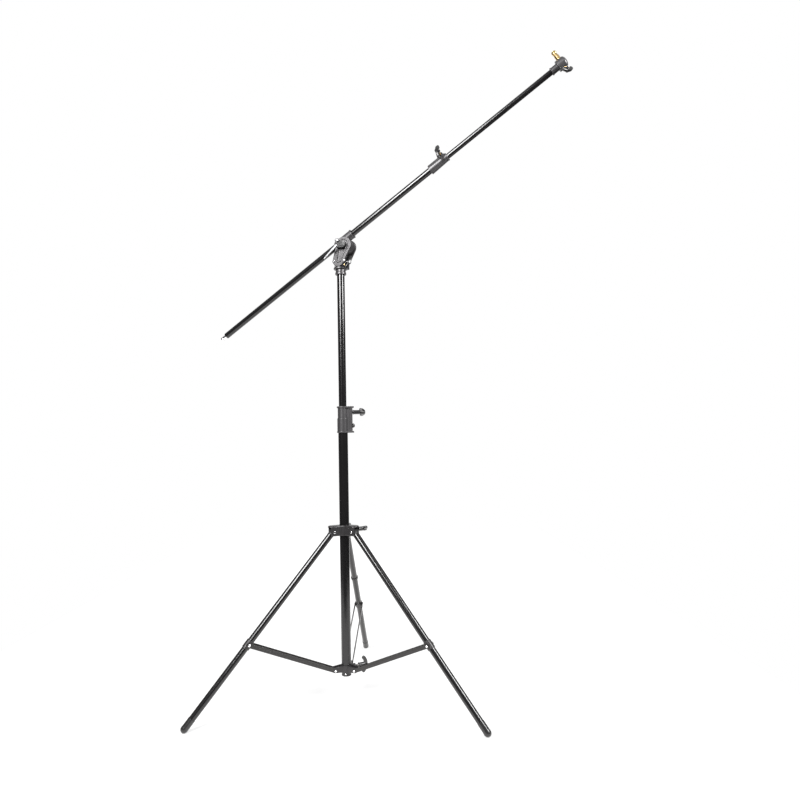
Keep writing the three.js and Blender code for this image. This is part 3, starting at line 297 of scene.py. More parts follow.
knob_black = moulded("knob_gloss_black", (0.007, 0.007, 0.0073), 0.27, 0.2, 500)
nylon_black = moulded("nylon_matte_black", (0.011, 0.0108, 0.011), 0.5, 0.0, 1200)
foot_rubber = moulded("foot_rubber", (0.006, 0.0058, 0.006), 0.3, 0.15, 900)

# %% [markdown]
# ## Finish and slot
# Each piece names one finish. Beside the material stands the CAD record's own name for it, the
# slot;
# the pieces are not given their slot here.

# %% Finishes by name
FINISHES = {
    "column": (column_black, "black_tube"),
    "boom": (boom_black, "black_tube"),
    "strip": (strip_black, "grey_strip"),
    "casting": (casting_grey, "grey_casting"),
    "collar": (collar_grey, "grey_casting"),
    "lever": (lever_grey, "light_lever"),
    "steel": (polished_steel, "bright_steel"),
    "brass": (yellow_brass, "brass"),
    "brass_screw": (yellow_brass, "knob_black"),
    "zinc_screw": (thread_metal_painted_shade, "knob_black"),
    "knob": (knob_black, "knob_black"),
    "nylon": (nylon_black, "black_nylon"),
    "rubber": (foot_rubber, "black_nylon"),
}
print(len(FINISHES), "finishes")


# %% [markdown]
# ## Places
# A place is a matrix in millimetres: a point and three turns. Empties could carry the pieces too,
# but these turns put a shape that was drawn along +X onto the column, a leg or the boom, just as
# the CAD source does, so the numbers can be compared.

# %% Places on the object
def place(x=0.0, y=0.0, z=0.0, azimuth=0.0, dip=0.0, roll=0.0, on=None):
    turn = (
        Matrix.Rotation(math.radians(azimuth), 4, "Z")
        @ Matrix.Rotation(math.radians(dip), 4, "Y")
        @ Matrix.Rotation(math.radians(roll), 4, "X")
    )
    return (on or Matrix.Identity(4)) @ Matrix.Translation((x, y, z)) @ turn


UP = -90  # the dip that turns +X to straight up
PIVOT_OFFSET = 25
PIVOT_HEIGHT = 1560.2
BOOM_RISE = 30.75
upright = place(dip=UP)
pivot = place(PIVOT_OFFSET, 0, PIVOT_HEIGHT)
tilted = place(PIVOT_OFFSET, 0, PIVOT_HEIGHT, dip=-BOOM_RISE)
boom = place(0, 0, PIVOT_OFFSET, on=tilted)
LEG_AZIMUTHS = {"rear": 108.4, "left": 228.4, "right": -11.6}
SIDE_KNOB_AZIMUTH = LEG_AZIMUTHS["right"] + 60
LEG_SPREAD = 41.25  # degrees from the column
HUB_PIVOT = (44.6, 513.7)  # radius and height
COLLAR_PIVOT = (47.5, 27.2)
BRACE_PLACE = 467  # along the leg, from its rivet
FLOOR_DROP = 85  # from the column's plug down to the floor
print("tilt axis", [round(v, 1) for v in pivot.translation], "boom", round(BOOM_RISE), "degrees up")


def round_the_column(azimuth, radius, height, dip=0.0):
    angle = math.radians(azimuth)
    return place(radius * math.cos(angle), radius * math.sin(angle), height, azimuth, dip)


# %% [markdown]
# ## Turned shapes
# A plain cylinder has hard rims that no real part has, and a bevel would have to be made again on
# every one. Here an outline's corners are eased first, and `turned` spins it like a lathe. A shape
# stays plain numbers until it is placed, so shapes can be joined in any mix.

# %% Outlines and turned shapes
class Form:
    """Closed shapes in millimetres, each kept as its points and faces."""

    def __init__(self, parts=()):
        self.parts = list(parts)

    def put(self, where):
        m = np.array(where)
        return Form((points @ m[:3, :3].T + m[:3, 3], faces) for points, faces in self.parts)

    def __add__(self, other):
        return Form(self.parts + other.parts)


def shape(points, faces):
    return Form([(np.array(points, float), [tuple(f) for f in faces])])


GUARD = 0.35  # a narrow band beside each rounded edge keeps the shading of the long face flat
SHARE_OF_EDGE = 0.48  # a corner takes less than half of each edge beside it
ON_AXIS = 1e-6  # a smaller radius is a single point


def eased(outline, size, steps=3):
    """The outline with each corner rounded by about that size, and a guard point beside it."""
    closed = tuple(outline[0]) == tuple(outline[-1])
    points = [Vector(p) for p in (outline[:-1] if closed else outline)]
    made = []
    for i, here in enumerate(points):
        if not closed and i in (0, len(points) - 1):
            made.append(tuple(here))
            continue
        before, after = points[i - 1], points[(i + 1) % len(points)]
        ways = [(p - here).normalized() for p in (before, after)]
        spare = [(p - here).length * SHARE_OF_EDGE for p in (before, after)]
        reach = [min(size, room * 0.94) for room in spare]
        start, end = here + ways[0] * reach[0], here + ways[1] * reach[1]
        if reach[0] + GUARD < spare[0]:
            made.append(tuple(start + ways[0] * GUARD))
        for k in range(steps + 1):
            t = k / steps
            made.append(tuple(start * (1 - t) ** 2 + here * 2 * t * (1 - t) + end * t**2))
        if reach[1] + GUARD < spare[1]:
            made.append(tuple(end + ways[1] * GUARD))
    return made + [made[0]] if closed else made


def turned(outline, ease=0.4, sides=64):
    """A shape spun round +X from its half outline of (place along X, radius)."""
    outline = eased(outline, ease) if ease else [tuple(p) for p in outline]
    closed = outline[0] == outline[-1]
    rings = outline[:-1] if closed else outline
    points, starts = [], []
    for along, radius in rings:
        starts.append(len(points))
        count = 1 if radius < ON_AXIS else sides
        for s in range(count):
            angle = 2 * math.pi * s / sides
            points.append((along, radius * math.cos(angle), radius * math.sin(angle)))
    faces = []
    pairs = zip(range(len(rings)), list(range(1, len(rings))) + ([0] if closed else []))
    for a, b in pairs:
        for s in range(sides):
            t = (s + 1) % sides
            lone_a, lone_b = rings[a][1] < ON_AXIS, rings[b][1] < ON_AXIS
            corner = [starts[a] + (0 if lone_a else s), starts[b] + (0 if lone_b else s)]
            corner += [starts[b] + t] if not lone_b else []
            corner += [starts[a] + t] if not lone_a else []
            if len(corner) > 2:
                faces.append(corner)
    return shape(points, faces)


def rod(start, end, radius, ease=0.5, sides=64):
    return turned([(start, 0), (start, radius), (end, radius), (end, 0)], ease, sides)


def pipe(start, end, radius, bore, ease=0.4, sides=96):
    outline = [(start, bore), (start, radius), (end, radius), (end, bore), (start, bore)]
    return turned(outline, ease, sides)


# %% [markdown]
# ## Plates
# Cheeks, ears, strips and blades are flat, with rounded rims. A bevel modifier would do it, but it
# trips on the curved outlines, so `plate` stacks copies of the outline, each a little further in,
# to draw the quarter round of the rim. Most outlines are a belt round two discs.

# %% Plates
def arc(x, y, radius, start, end, steps=18):
    """Points on an arc, from one angle in degrees to another."""
    angles = [math.radians(start + (end - start) * k / steps) for k in range(steps + 1)]
    return [(x + radius * math.cos(a), y + radius * math.sin(a)) for a in angles]


def belt(x1, y1, r1, x2, y2, r2):
    """The outline of a belt drawn round two discs."""
    direction = math.degrees(math.atan2(y2 - y1, x2 - x1))
    spread = math.degrees(math.acos((r1 - r2) / math.hypot(x2 - x1, y2 - y1)))
    first = arc(x1, y1, r1, direction + spread, direction - spread + 360)
    return first + arc(x2, y2, r2, direction - spread, direction + spread)


def rectangle(x0, x1, y0, y1, corner=1.5):
    made = []
    for x, y, start in ((x1, y1, 0), (x0, y1, 90), (x0, y0, 180), (x1, y0, 270)):
        cx, cy = x - corner * (1 if x == x1 else -1), y - corner * (1 if y == y1 else -1)
        made += arc(cx, cy, corner, start, start + 90, 4)
    return made


def plate(outline, low, high, ease=0.8, steps=3, upright_plate=True):
    """An outline with a thickness and rounded rims. Upright: its x and y are the part's x and z."""
    flat = np.array(outline, float)
    edge = np.roll(flat, -1, 0) - flat
    edge /= np.maximum(np.linalg.norm(edge, axis=1, keepdims=True), 1e-9)
    normal = np.stack((edge[:, 1], -edge[:, 0]), 1)
    normal = normal + np.roll(normal, 1, 0)
    normal /= np.maximum(np.linalg.norm(normal, axis=1, keepdims=True), 1e-9)
    guard = GUARD if ease > GUARD else 0
    levels = [(low, ease + guard)] if guard else []
    for k in range(steps + 1):
        angle = math.pi / 2 * k / steps
        levels.append((low + ease * (1 - math.cos(angle)), ease * (1 - math.sin(angle))))
    if 0 < guard < (high - low) / 2 - ease:
        levels.append((low + ease + guard, 0))
    levels += [(low + high - depth, inset) for depth, inset in levels][::-1]
    points, count = [], len(flat)
    for depth, inset in levels:
        for x, y in flat - normal * inset:
            points.append((x, depth, y) if upright_plate else (x, y, depth))
    faces = [range(count)[::-1], range((len(levels) - 1) * count, len(levels) * count)]
    for level in range(len(levels) - 1):
        for i in range(count):
            j = (i + 1) % count
            a, b = level * count, (level + 1) * count
            faces.append((a + i, a + j, b + j, b + i))
    return shape(points, faces)


def block(x0, x1, y0, y1, z0, z1, ease=1.0):
    corner = min(ease + 0.6, (z1 - z0) / 2.1)  # wider than the ease, under half the height
    return plate(rectangle(x0, x1, z0, z1, corner), y0, y1, ease)


print("a block has", len(block(0, 10, 0, 10, 0, 10).parts[0][1]), "faces")


# %% [markdown]
# ## From shape to piece
# Small turned parts become meshes as they are. A casting is joined from its shapes and then cut,
# one closed shape at a time: the manifold solver is exact and quick when each tool is closed, and
# it loses bores when several shapes that overlap come at once. A voxel remesh would round the inner
# corners too, but it blurs thin rims. Each piece rides on its body and stands for its CAD node.

# %% Making meshes
MM = 0.001
SAME_POINT = 1e-4  # mm


def mesh_object(name, points, faces):
    mesh = bpy.data.meshes.new(name)
    mesh.from_pydata(points.tolist(), [], faces)
    work = bmesh.new()
    work.from_mesh(mesh)
    bmesh.ops.remove_doubles(work, verts=work.verts, dist=SAME_POINT)
    bmesh.ops.recalc_face_normals(work, faces=work.faces)
    work.to_mesh(mesh)
    work.free()
    made = bpy.data.objects.new(name, mesh)
    bpy.context.scene.collection.objects.link(made)
    return made


def carved(name, body, cuts=Form()):
    """The shapes of body joined one by one, and then cut by those of cuts one by one."""
    made = mesh_object(name, *body.parts[0])
    steps = [("UNION", part) for part in body.parts[1:]]
    steps += [("DIFFERENCE", part) for part in cuts.parts]
    for operation, part in steps:
        tool = mesh_object(name + "_tool", *part)
        step = made.modifiers.new("step", "BOOLEAN")
        step.operation, step.solver, step.object = operation, "MANIFOLD", tool
        bake(made)
        bpy.data.objects.remove(tool)
    return made


def bake(made):
    """Turns what the modifiers show into the mesh itself."""
    shaped = made.evaluated_get(bpy.context.evaluated_depsgraph_get())
    made.data = bpy.data.meshes.new_from_object(shaped)
    made.modifiers.clear()


def finish_piece(made, body, finish, nodes, sharp):
    made.data.transform(Matrix.Scale(MM, 4))
    made.data.materials.clear()
    made.data.materials.append(FINISHES[finish][0])
    made.data.shade_smooth()
    made.data.set_sharp_from_angle(angle=math.radians(sharp))
    flats = made.modifiers.new("flats", "WEIGHTED_NORMAL")
    flats.keep_sharp = True
    bake(made)
    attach(made, body)
    FINISHES[finish][1]
    if nodes:
        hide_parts(*nodes)
    print(made.name, "on", body, len(made.data.polygons), "faces")


SHARP = 40  # degrees; a steeper edge is shaded as an edge


def piece(name, form, body, finish, *nodes, sharp=SHARP):
    """A piece that is drawn in its place."""
    finish_piece(carved(name, form), body, finish, nodes, sharp)


def cast(name, form, cuts, body, finish, *nodes, at=Matrix.Identity(4)):
    """A carved piece: form less cuts, then put in its place."""
    made = carved(name, form, cuts)
    made.data.transform(at)
    finish_piece(made, body, finish, nodes, SHARP)


# %% [markdown]
# ## Column tubes
# Drawn tube: round, with a wall, and with rims eased by the cutting tool. A cylinder with a
# Solidify modifier would do, but a lathe outline gives bore and rims in one go. The lower tube
# has a small pressed stop near its foot, and a ribbed plug closes its end.

# %% Column
OUTER = 17.5
lower_tube = pipe(5.3, 922.7, OUTER, 15.5).put(upright)
piece("outer_column_shell", lower_tube, "stand", "column", "outer_column")
upper_tube = pipe(555, 1490.2, 14, 12.5).put(upright)
piece("upper_column_shell", upper_tube, "upper_column", "column", "upper_column_tube")
bush = [
    (544.7, 9.5), (544.7, 15), (554.7, 15), (554.7, 12.2),
    (566.7, 12.2), (566.7, 9.5), (544.7, 9.5),
]
piece("guide_bush", turned(bush).put(upright), "upper_column", "nylon", "upper_column_bush")
stop = rod(OUTER - 0.6, OUTER + 0.5, 2.2, 0.4, 24).put(place(0, 0, 160, azimuth=-70))
piece("column_stop_dimple", stop, "stand", "nylon")

# %% End plug
RIBS = 8
plug = [(0, 0), (0, 16.2), (1.2, 17.4), (4.9, 17.4), (4.9, 15.1), (30, 15.1), (30, 0)]
grooves = Form()
for index in range(RIBS):
    azimuth = 360 / RIBS * (index + 0.5)
    grooves = grooves + block(0, 17, -1.6, 1.6, -1.2, 0.8, 0.3).put(place(0, 0, 1, azimuth))
plug_body = turned(plug, 0.5).put(upright)
cast("end_plug_body", plug_body, grooves, "stand", "nylon", "column_end_plug")
screw = [(9.5, 0), (9.5, 1.6), (17.8, 1.6), (17.8, 3), (18.8, 2.2), (18.8, 0)]
screw_head = turned(screw, 0.3, 32).put(place(0, 0, 9, 288.4))
piece("end_plug_screw_head", screw_head, "stand", "steel", "end_plug_screw")

# %% [markdown]
# ## Wing knobs
# Six knobs share one pattern: an arched blade with rounded tips, a waisted barrel and a screw.
# Blade and barrel are joined into one moulding. A Screw modifier could wind the thread; a grid of
# rings, whose radius depends on the angle and the place, gives a closed mesh with clean ends.

# %% Thread and knob makers
def thread(start, end, radius, pitch=1.25, depth=0.6, sides=24, per_turn=6):
    """A screw along +X: the radius rises and falls once per turn."""
    rings = int((end - start) / pitch * per_turn)
    points = []
    for ring in range(rings + 1):
        along = start + (end - start) * ring / rings
        fade = min(1.0, (along - start) / pitch, (end - along) / pitch)
        for side in range(sides):
            share = (along / pitch - side / sides) % 1
            groove = depth * abs(2 * share - 1) * fade
            angle = 2 * math.pi * side / sides
            r = radius - groove
            points.append((along, r * math.cos(angle), r * math.sin(angle)))
    faces = [range(sides)[::-1], range(rings * sides, (rings + 1) * sides)]
    for ring in range(rings):
        for side in range(sides):
            other = (side + 1) % sides
            a, b = ring * sides, (ring + 1) * sides
            faces.append((a + side, b + side, b + other, a + other))
    return shape(points, faces)


KNOB_SPAN, KNOB_BLADE, KNOB_SWEEP, KNOB_THICK = 60, 13, 40, 9
SCREW_RADIUS = 4
THREAD_OVERLAP = 1.5  # how far the thread runs into the barrel


def wing_form(barrel_start, crown):
    """The grip, along +X: two blades swept back from the crown, a hub and a waisted barrel."""
    half = KNOB_BLADE / 2
    sweep = math.radians(KNOB_SWEEP)
    mid = (KNOB_SPAN - KNOB_BLADE) / (2 * math.sin(sweep))
    centre = crown - mid - half
    tip = (centre + mid * math.cos(sweep), mid * math.sin(sweep))
    outline = arc(centre, 0, mid + half, -KNOB_SWEEP, KNOB_SWEEP, 30)
    outline += arc(*tip, half, KNOB_SWEEP, KNOB_SWEEP + 180, 14)[1:-1]
    outline += arc(centre, 0, mid - half, KNOB_SWEEP, -KNOB_SWEEP, 20)
    outline += arc(tip[0], -tip[1], half, 180 - KNOB_SWEEP, 360 - KNOB_SWEEP, 14)[1:-1]
    blades = plate(outline, -KNOB_THICK / 2, KNOB_THICK / 2, 2.4, 5)
    root = crown - KNOB_BLADE
    waist = min(barrel_start + 4.5, root - 1)
    hub = turned([
        (barrel_start, 0), (barrel_start, 8.4), (waist - 1.5, 8.4), (waist, 7.6),
        (root + 1, 8), (root + 4, 8.6), (crown - 2.6, 7.8), (crown - 0.4, 5), (crown - 0.4, 0),
    ], 0.8, 40)
    return blades + hub


def wing_knob(name, where, screw_tip, barrel_start, crown, turn, metal="brass_screw"):
    """Grip, screw and insert; a knob's body has the knob's own name."""
    body, node = name, name.replace("_knob", "_wing_knob")
    spun = where @ Matrix.Rotation(math.radians(turn), 4, "X")
    grip = wing_form(barrel_start, crown)
    cast(name + "_grip", grip, Form(), body, "knob", node, at=spun)
    screw = thread(screw_tip, barrel_start + THREAD_OVERLAP, SCREW_RADIUS)
    piece(name + "_thread", screw.put(spun), body, metal, sharp=50)
    insert = rod(crown - 2.5, crown - 0.1, 2.6, 0.4, 24)
    piece(name + "_insert", insert.put(spun), body, metal)


# %% [markdown]
# ## The six knobs
# Each has its own place, reach and turn. The turns were read from the photograph: a real knob stops
# wherever its clamp is tight.

# %% Six wing knobs
collar_knob_place = place(0, 0, 28, SIDE_KNOB_AZIMUTH)
hub_knob_place = place(0, 0, 517, SIDE_KNOB_AZIMUTH)
CASTING_AZIMUTH = 23.5
COLUMN_KNOB_HEIGHT = 945
column_knob_place = place(0, 0, COLUMN_KNOB_HEIGHT, CASTING_AZIMUTH)
head_knob_place = place(0, 0, 1488, -36.5)
lean_place = place(465.5, 0, 0, roll=66, on=boom)
sleeve_knob_place = place(dip=UP, on=lean_place)
SPIGOT_PLACE = 948.3
tip_place = place(SPIGOT_PLACE, 0, 0, roll=-6, on=boom)
tip_knob_place = place(dip=90, on=tip_place)
# The collar, hub and column knobs take the dark grey metal for screw and insert: painted shade
# standing in for their brass.
wing_knob("collar_knob", collar_knob_place, 17.8, 47, 82, 5, "zinc_screw")
wing_knob("hub_knob", hub_knob_place, 18, 50, 88, 72, "zinc_screw")
wing_knob("column_knob", column_knob_place, 14.3, 36.2, 83, 70, "zinc_screw")
wing_knob("head_knob", head_knob_place, 14.3, 46, 74, -27)
wing_knob("sleeve_knob", sleeve_knob_place, 9.8, 42, 55, 72)
wing_knob("tip_knob", tip_knob_place, 8.3, 23.5, 38.5, -52)

# %% [markdown]
# ## Hub
# The hub is one casting: a ring with three slotted lobes, which the leg knuckles turn in. Ring and
# lobes are joined first, and the slots, bore and holes are cut from the whole, as a mill does.

# %% Hub
HUB_BOTTOM, HUB_TOP = 499, 536
RIVET_HOLE = 3.3
SCREW_HOLE = 4.3
COLLAR_BORE = 18  # in the hub and in the lower collar
LOBE_REACH, LOBE_RADIUS = 44.4, 17.6
lobe_outline = belt(0, 0, LOBE_RADIUS, LOBE_REACH, 0, LOBE_RADIUS)
hub_form = rod(HUB_BOTTOM, HUB_TOP, 24, 2.5).put(upright)
hub_cuts = rod(490, 545, COLLAR_BORE, 0).put(upright)
for azimuth in LEG_AZIMUTHS.values():
    lobe = plate(lobe_outline, HUB_BOTTOM, HUB_TOP, 4, upright_plate=False)
    slot = block(27, 66, -12.7, 12.7, 490, 530, 0.1)
    hole = rod(-22, 22, RIVET_HOLE, 0, 24).put(place(HUB_PIVOT[0], 0, HUB_PIVOT[1], 90))
    hub_form = hub_form + lobe.put(place(azimuth=azimuth))
    hub_cuts = hub_cuts + (slot + hole).put(place(azimuth=azimuth))
hub_form = hub_form + rod(17, 42, 9, 1).put(hub_knob_place)
hub_cuts = hub_cuts + rod(0, 46, SCREW_HOLE, 0, 32).put(hub_knob_place)
cast("hub_body", hub_form, hub_cuts, "hub", "collar", "hub_casting")

# %% [markdown]
# ## Legs
# Each leg is a tube that hangs on a knuckle from its rivet. The foot is a rubber cap with a flat
# where it meets the floor; the brace bracket is a sleeve with a boss for the brace's rivet. One leg
# is drawn along +X from its rivet, and its place puts it on each side of the hub.

# %% Leg makers
FOOT_RADIUS = 13
FOOT_FLAT = 0.6  # how much the floor flattens it
foot_height = FOOT_RADIUS - FOOT_FLAT - FLOOR_DROP
FOOT_PLACE = (HUB_PIVOT[1] - foot_height) / math.cos(math.radians(LEG_SPREAD))
across = place(azimuth=90)  # a rivet or a hole across the leg, the brace or the head


def rivet(reach, flange, rim):
    """A headed pin: its half length, where the heads begin and where their rims are."""
    half = [(reach, 0), (reach, 3.2), (rim, 4.4), (flange, 4.6), (flange, 3)]
    return turned([(-x, radius) for x, radius in half] + half[::-1], 0.3, 40)


def leg_foot():
    start, end = FOOT_PLACE - 36, FOOT_PLACE
    quarter = np.linspace(0, math.pi / 2, 9)
    dome = [(end + FOOT_RADIUS * math.sin(a), 12.6 * math.cos(a)) for a in quarter]
    outline = [
        (end, 0), (end, 11.7), (start, 11.7), (start, 12.3), (end - 8, 12.3),
        *dome[:-1], (end + FOOT_RADIUS, 0),
    ]
    ground = block(-30, 30, -30, 30, -30, FOOT_FLAT - FOOT_RADIUS, 0.1)
    return turned(outline, 0.3, 48), ground.put(place(end, 0, 0, dip=LEG_SPREAD - 90))


def leg_bracket():
    boss = rod(-13.7, 13.7, 9, 0.6).put(place(BRACE_PLACE, azimuth=90))
    sleeve = rod(BRACE_PLACE - 15, BRACE_PLACE + 15, 13.5, 1)
    return sleeve + boss, rod(BRACE_PLACE - 20, BRACE_PLACE + 20, 11.8, 0)


print("a leg is", round(FOOT_PLACE + FOOT_RADIUS), "mm long")

# %% Three legs
for side, azimuth in LEG_AZIMUTHS.items():
    leg = round_the_column(azimuth, *HUB_PIVOT, 90 - LEG_SPREAD)
    body = "leg_" + side
    tube = pipe(14, FOOT_PLACE - 0.3, 11.5, 9.7).put(leg)
    piece("leg_shell_" + side, tube, body, "column", "leg_tube_" + side)
    knuckle = rod(-12.2, 12.2, 12.2, 1).put(across) + rod(0, 13.7, 11.5, 0.8) + rod(0, 45, 9.4)
    hole = rod(-20, 20, RIVET_HOLE, 0, 24).put(across)
    cast("knuckle_" + side, knuckle, hole, body, "nylon", "leg_knuckle_" + side, at=leg)
    foot, ground = leg_foot()
    cast("foot_cap_" + side, foot, ground, body, "rubber", "leg_foot_" + side, at=leg)
    bracket, way = leg_bracket()
    cast("bracket_" + side, bracket, way, body, "collar", "brace_bracket_" + side, at=leg)
    pin = rivet(19.9, 17.9, 19.2).put(leg @ across)
    piece("hub_rivet_" + side, pin, "hub", "steel", "leg_pin_" + side)

# %% [markdown]
# ## Braces
# Pressed steel strips in pairs, one on each side of the collar's ears and of the leg's bracket.
# A raised bead runs along each strip, as pressing leaves it; a rivet holds each end. The bead could
# be bump alone, but it catches the light along the whole strip, so it is a real shape.

# %% Braces
run = HUB_PIVOT[0] + BRACE_PLACE * math.sin(math.radians(LEG_SPREAD)) - COLLAR_PIVOT[0]
climb = HUB_PIVOT[1] - BRACE_PLACE * math.cos(math.radians(LEG_SPREAD)) - COLLAR_PIVOT[1]
BRACE_LENGTH, BRACE_RISE = math.hypot(run, climb), math.degrees(math.atan2(climb, run))
STRIP_HALF = 7.4  # half the strip's width
BEAD_HALF, BEAD_INSET = 2.2, 22
strip_outline = belt(0, 0, STRIP_HALF, BRACE_LENGTH, 0, STRIP_HALF)
bead_outline = belt(BEAD_INSET, 0, BEAD_HALF, BRACE_LENGTH - BEAD_INSET, 0, BEAD_HALF)
head = [(14.2, 0), (14.2, 3), (16.7, 3), (16.7, 4.4), (17.6, 4.2), (18.4, 3), (18.4, 0)]

for side, azimuth in LEG_AZIMUTHS.items():
    brace = round_the_column(azimuth, *COLLAR_PIVOT, -BRACE_RISE)
    body = "brace_" + side
    for face, turn in (("inner", -1), ("outer", 1)):
        low, high = sorted((14.1 * turn, 16.6 * turn))
        strip = plate(strip_outline, low, high, 0.6)
        hole = rod(-30, 30, RIVET_HOLE, 0, 24).put(across)
        skin = low if turn < 0 else high
        bead = plate(bead_outline, skin - 0.5, skin + 0.5, 0.45)
        name = side + "_" + face
        cast("strip_" + name, strip + bead, hole, body, "strip", "brace_strip_" + name, at=brace)
        end = turned(head, 0.3, 32).put(place(BRACE_LENGTH, 0, 0, 90 * turn, on=brace))
        piece("strip_rivet_" + name, end, body, "steel")
    pin = rivet(18.6, 16.8, 17.8).put(brace @ across)
    piece("collar_rivet_" + side, pin, "stand", "steel", "brace_pin_" + side)

# %% [markdown]
# ## Lower collar
# The collar is a ring at the column's foot with six ears in three pairs, which hold the braces.
# It is built like the hub: ears and ring are joined, then bored.

# %% Lower collar
collar_form = rod(15, 39, 20.5, 1.2).put(upright) + rod(17, 34, 9, 1).put(collar_knob_place)
collar_cuts = rod(10, 44, COLLAR_BORE, 0).put(upright)
collar_cuts = collar_cuts + rod(0, 40, SCREW_HOLE, 0, 32).put(collar_knob_place)
ear = belt(*COLLAR_PIVOT, 8.5, 12, 27, 11.5)
for azimuth in LEG_AZIMUTHS.values():
    ears = Form()
    for low, high in ((-13.7, -8.7), (8.7, 13.7)):
        ears = ears + plate(ear, low, high, 0.8)
    hole = rod(-20, 20, RIVET_HOLE, 0, 24).put(place(COLLAR_PIVOT[0], 0, COLLAR_PIVOT[1], 90))
    collar_form = collar_form + ears.put(place(azimuth=azimuth))
    collar_cuts = collar_cuts + hole.put(place(azimuth=azimuth))
cast("collar_body", collar_form, collar_cuts, "stand", "collar", "lower_collar")


# %% [markdown]
# ## Clip on the rear leg
# A dark band with a bent hook. A curve object with a bevel would give the hook, but not as plain
# points, so `swept` carries a ring along the line and turns it as the line bends.

# %% Rear clip
def swept(points, radius, sides=16):
    """A round wire along a line of points."""
    line = [Vector(p) for p in points]
    rings, normal = [], Vector((0, 1, 0))
    for i, here in enumerate(line):
        ahead = (line[min(i + 1, len(line) - 1)] - line[max(i - 1, 0)]).normalized()
        side = (normal - ahead * normal.dot(ahead)).normalized()
        other = ahead.cross(side)
        for s in range(sides):
            angle = 2 * math.pi * s / sides
            rings.append(here + side * radius * math.cos(angle) + other * radius * math.sin(angle))
    last = (len(line) - 1) * sides
    faces = [range(sides)[::-1], range(last, last + sides)]
    for i in range(len(line) - 1):
        for s in range(sides):
            t = (s + 1) % sides
            faces.append((i * sides + s, (i + 1) * sides + s, (i + 1) * sides + t, i * sides + t))
    return shape(rings, faces)


rear_leg = round_the_column(LEG_AZIMUTHS["rear"], *HUB_PIVOT, 90 - LEG_SPREAD)
hook = [
    (289, 0, 12.8), (286, 0, 17), (281, 0, 21.5),
    (275, 0, 24.5), (268, 0, 24.8), (262, 0, 22.8),
]
band = pipe(284.5, 293.5, 13.8, 11.8, 0.5, 64)
clip = band + swept(hook, 1.8)
piece("clip_band_rear", clip.put(rear_leg), "leg_rear", "nylon", "rear_leg_clip", sharp=50)

# %% [markdown]
# ## Column casting
# The clamp on top of the lower tube: two bores of different width, a square boss for the screws and
# a flange at each end. It is drawn at +X and turned to its place at the end, so that the boss can
# be a plain block.

# %% Column casting
CASTING_BOTTOM, CASTING_TOP = 870, 967
FLANGE_THICK = 6
NUT_HEIGHT = 896
flange = belt(0, 0, 21.8, 28.7, 0, 12)
casting_form = (
    rod(CASTING_BOTTOM, 923, 20.5, 1).put(upright)
    + rod(920, CASTING_TOP, 18.4, 1).put(upright)
    + block(0, 35.2, -10.5, 10.5, CASTING_BOTTOM, CASTING_TOP, 2)
    + plate(flange, CASTING_BOTTOM, CASTING_BOTTOM + FLANGE_THICK, 1.2, upright_plate=False)
    + plate(flange, CASTING_TOP - FLANGE_THICK, CASTING_TOP, 1.2, upright_plate=False)
)
casting_cuts = (
    rod(860, 923, 17.8, 0, 96).put(upright)
    + rod(860, 975, 14.5, 0, 96).put(upright)
    + rod(0, 40, SCREW_HOLE, 0, 32).put(place(0, 0, COLUMN_KNOB_HEIGHT))
    + rod(0, 40, 3.3, 0, 32).put(place(0, 0, NUT_HEIGHT))
)
for side in (-1, 1):
    relief = block(24, 32, side * 11.5 - 2.2, side * 11.5 + 2.2, 880, 957, 1.2)
    casting_cuts = casting_cuts + relief
bearing = place(azimuth=CASTING_AZIMUTH)
cast("casting_body", casting_form, casting_cuts, "stand", "casting", "column_casting", at=bearing)
acorn = [(17.8, 0), (17.8, 3), (35.5, 3), (35.5, 8), (38.5, 8), (41.5, 6.6), (43.4, 4), (44, 0)]
clamp_nut = turned(acorn, 0.5, 40).put(place(0, 0, NUT_HEIGHT, CASTING_AZIMUTH))
piece("clamp_nut", clamp_nut, "stand", "knob", "column_clamp_screw")

# %% [markdown]
# ## Tilt head
# The rear cheek, the block and the neck are one casting, which turns on the upper tube above a
# ring. Neck, flange and block overlap where they meet, so that the joins leave no seam.

# %% Head base
ring = pipe(1456, 1464, 20.3, 14.3, 0.9).put(upright)
piece("neck_ring_shell", ring, "upper_column", "casting", "neck_ring")
NECK_BOTTOM, FLANGE_BOTTOM, FLANGE_TOP = 1464.5, 1476, 1482
CHEEK_FOOT = (2.5, 1504.5)
AXLE_HOLE = 5.3
across_pivot = place(azimuth=90, on=pivot)
back_cheek = belt(PIVOT_OFFSET, PIVOT_HEIGHT, 28.5, *CHEEK_FOOT, 22)
head_form = (
    rod(NECK_BOTTOM, FLANGE_TOP, 18.4, 0.8).put(upright)
    + rod(FLANGE_BOTTOM, FLANGE_TOP, 26, 1.2).put(upright)
    + block(-17, 23, -16.8, 27, FLANGE_TOP - 3, 1508, 1)
    + plate(back_cheek, 16.8, 27, 1.6)
    + rod(25, 28.2, 24, 1).put(across_pivot)
    + rod(13, 35, 7, 0.8).put(head_knob_place)
)
head_cuts = (
    rod(1460, 1490.5, 14.3, 0, 96).put(upright)
    + rod(1470, 1512, 12, 0, 64).put(upright)
    + rod(-40, 40, AXLE_HOLE, 0, 32).put(across_pivot)
    + rod(0, 40, SCREW_HOLE, 0, 32).put(head_knob_place)
    + plate(belt(PIVOT_OFFSET - 3, PIVOT_HEIGHT - 27, 7, 6, 1512, 9), 25.6, 30, 0.8)
)
cast("head_body", head_form, head_cuts, "head", "casting", "head_base")

# %% [markdown]
# ## Front cheek
# A plate screwed to the head base. Its ring round the pivot, its raised teardrop and the hollow in
# it catch the light in the photograph, so all three are real shapes and not bump.

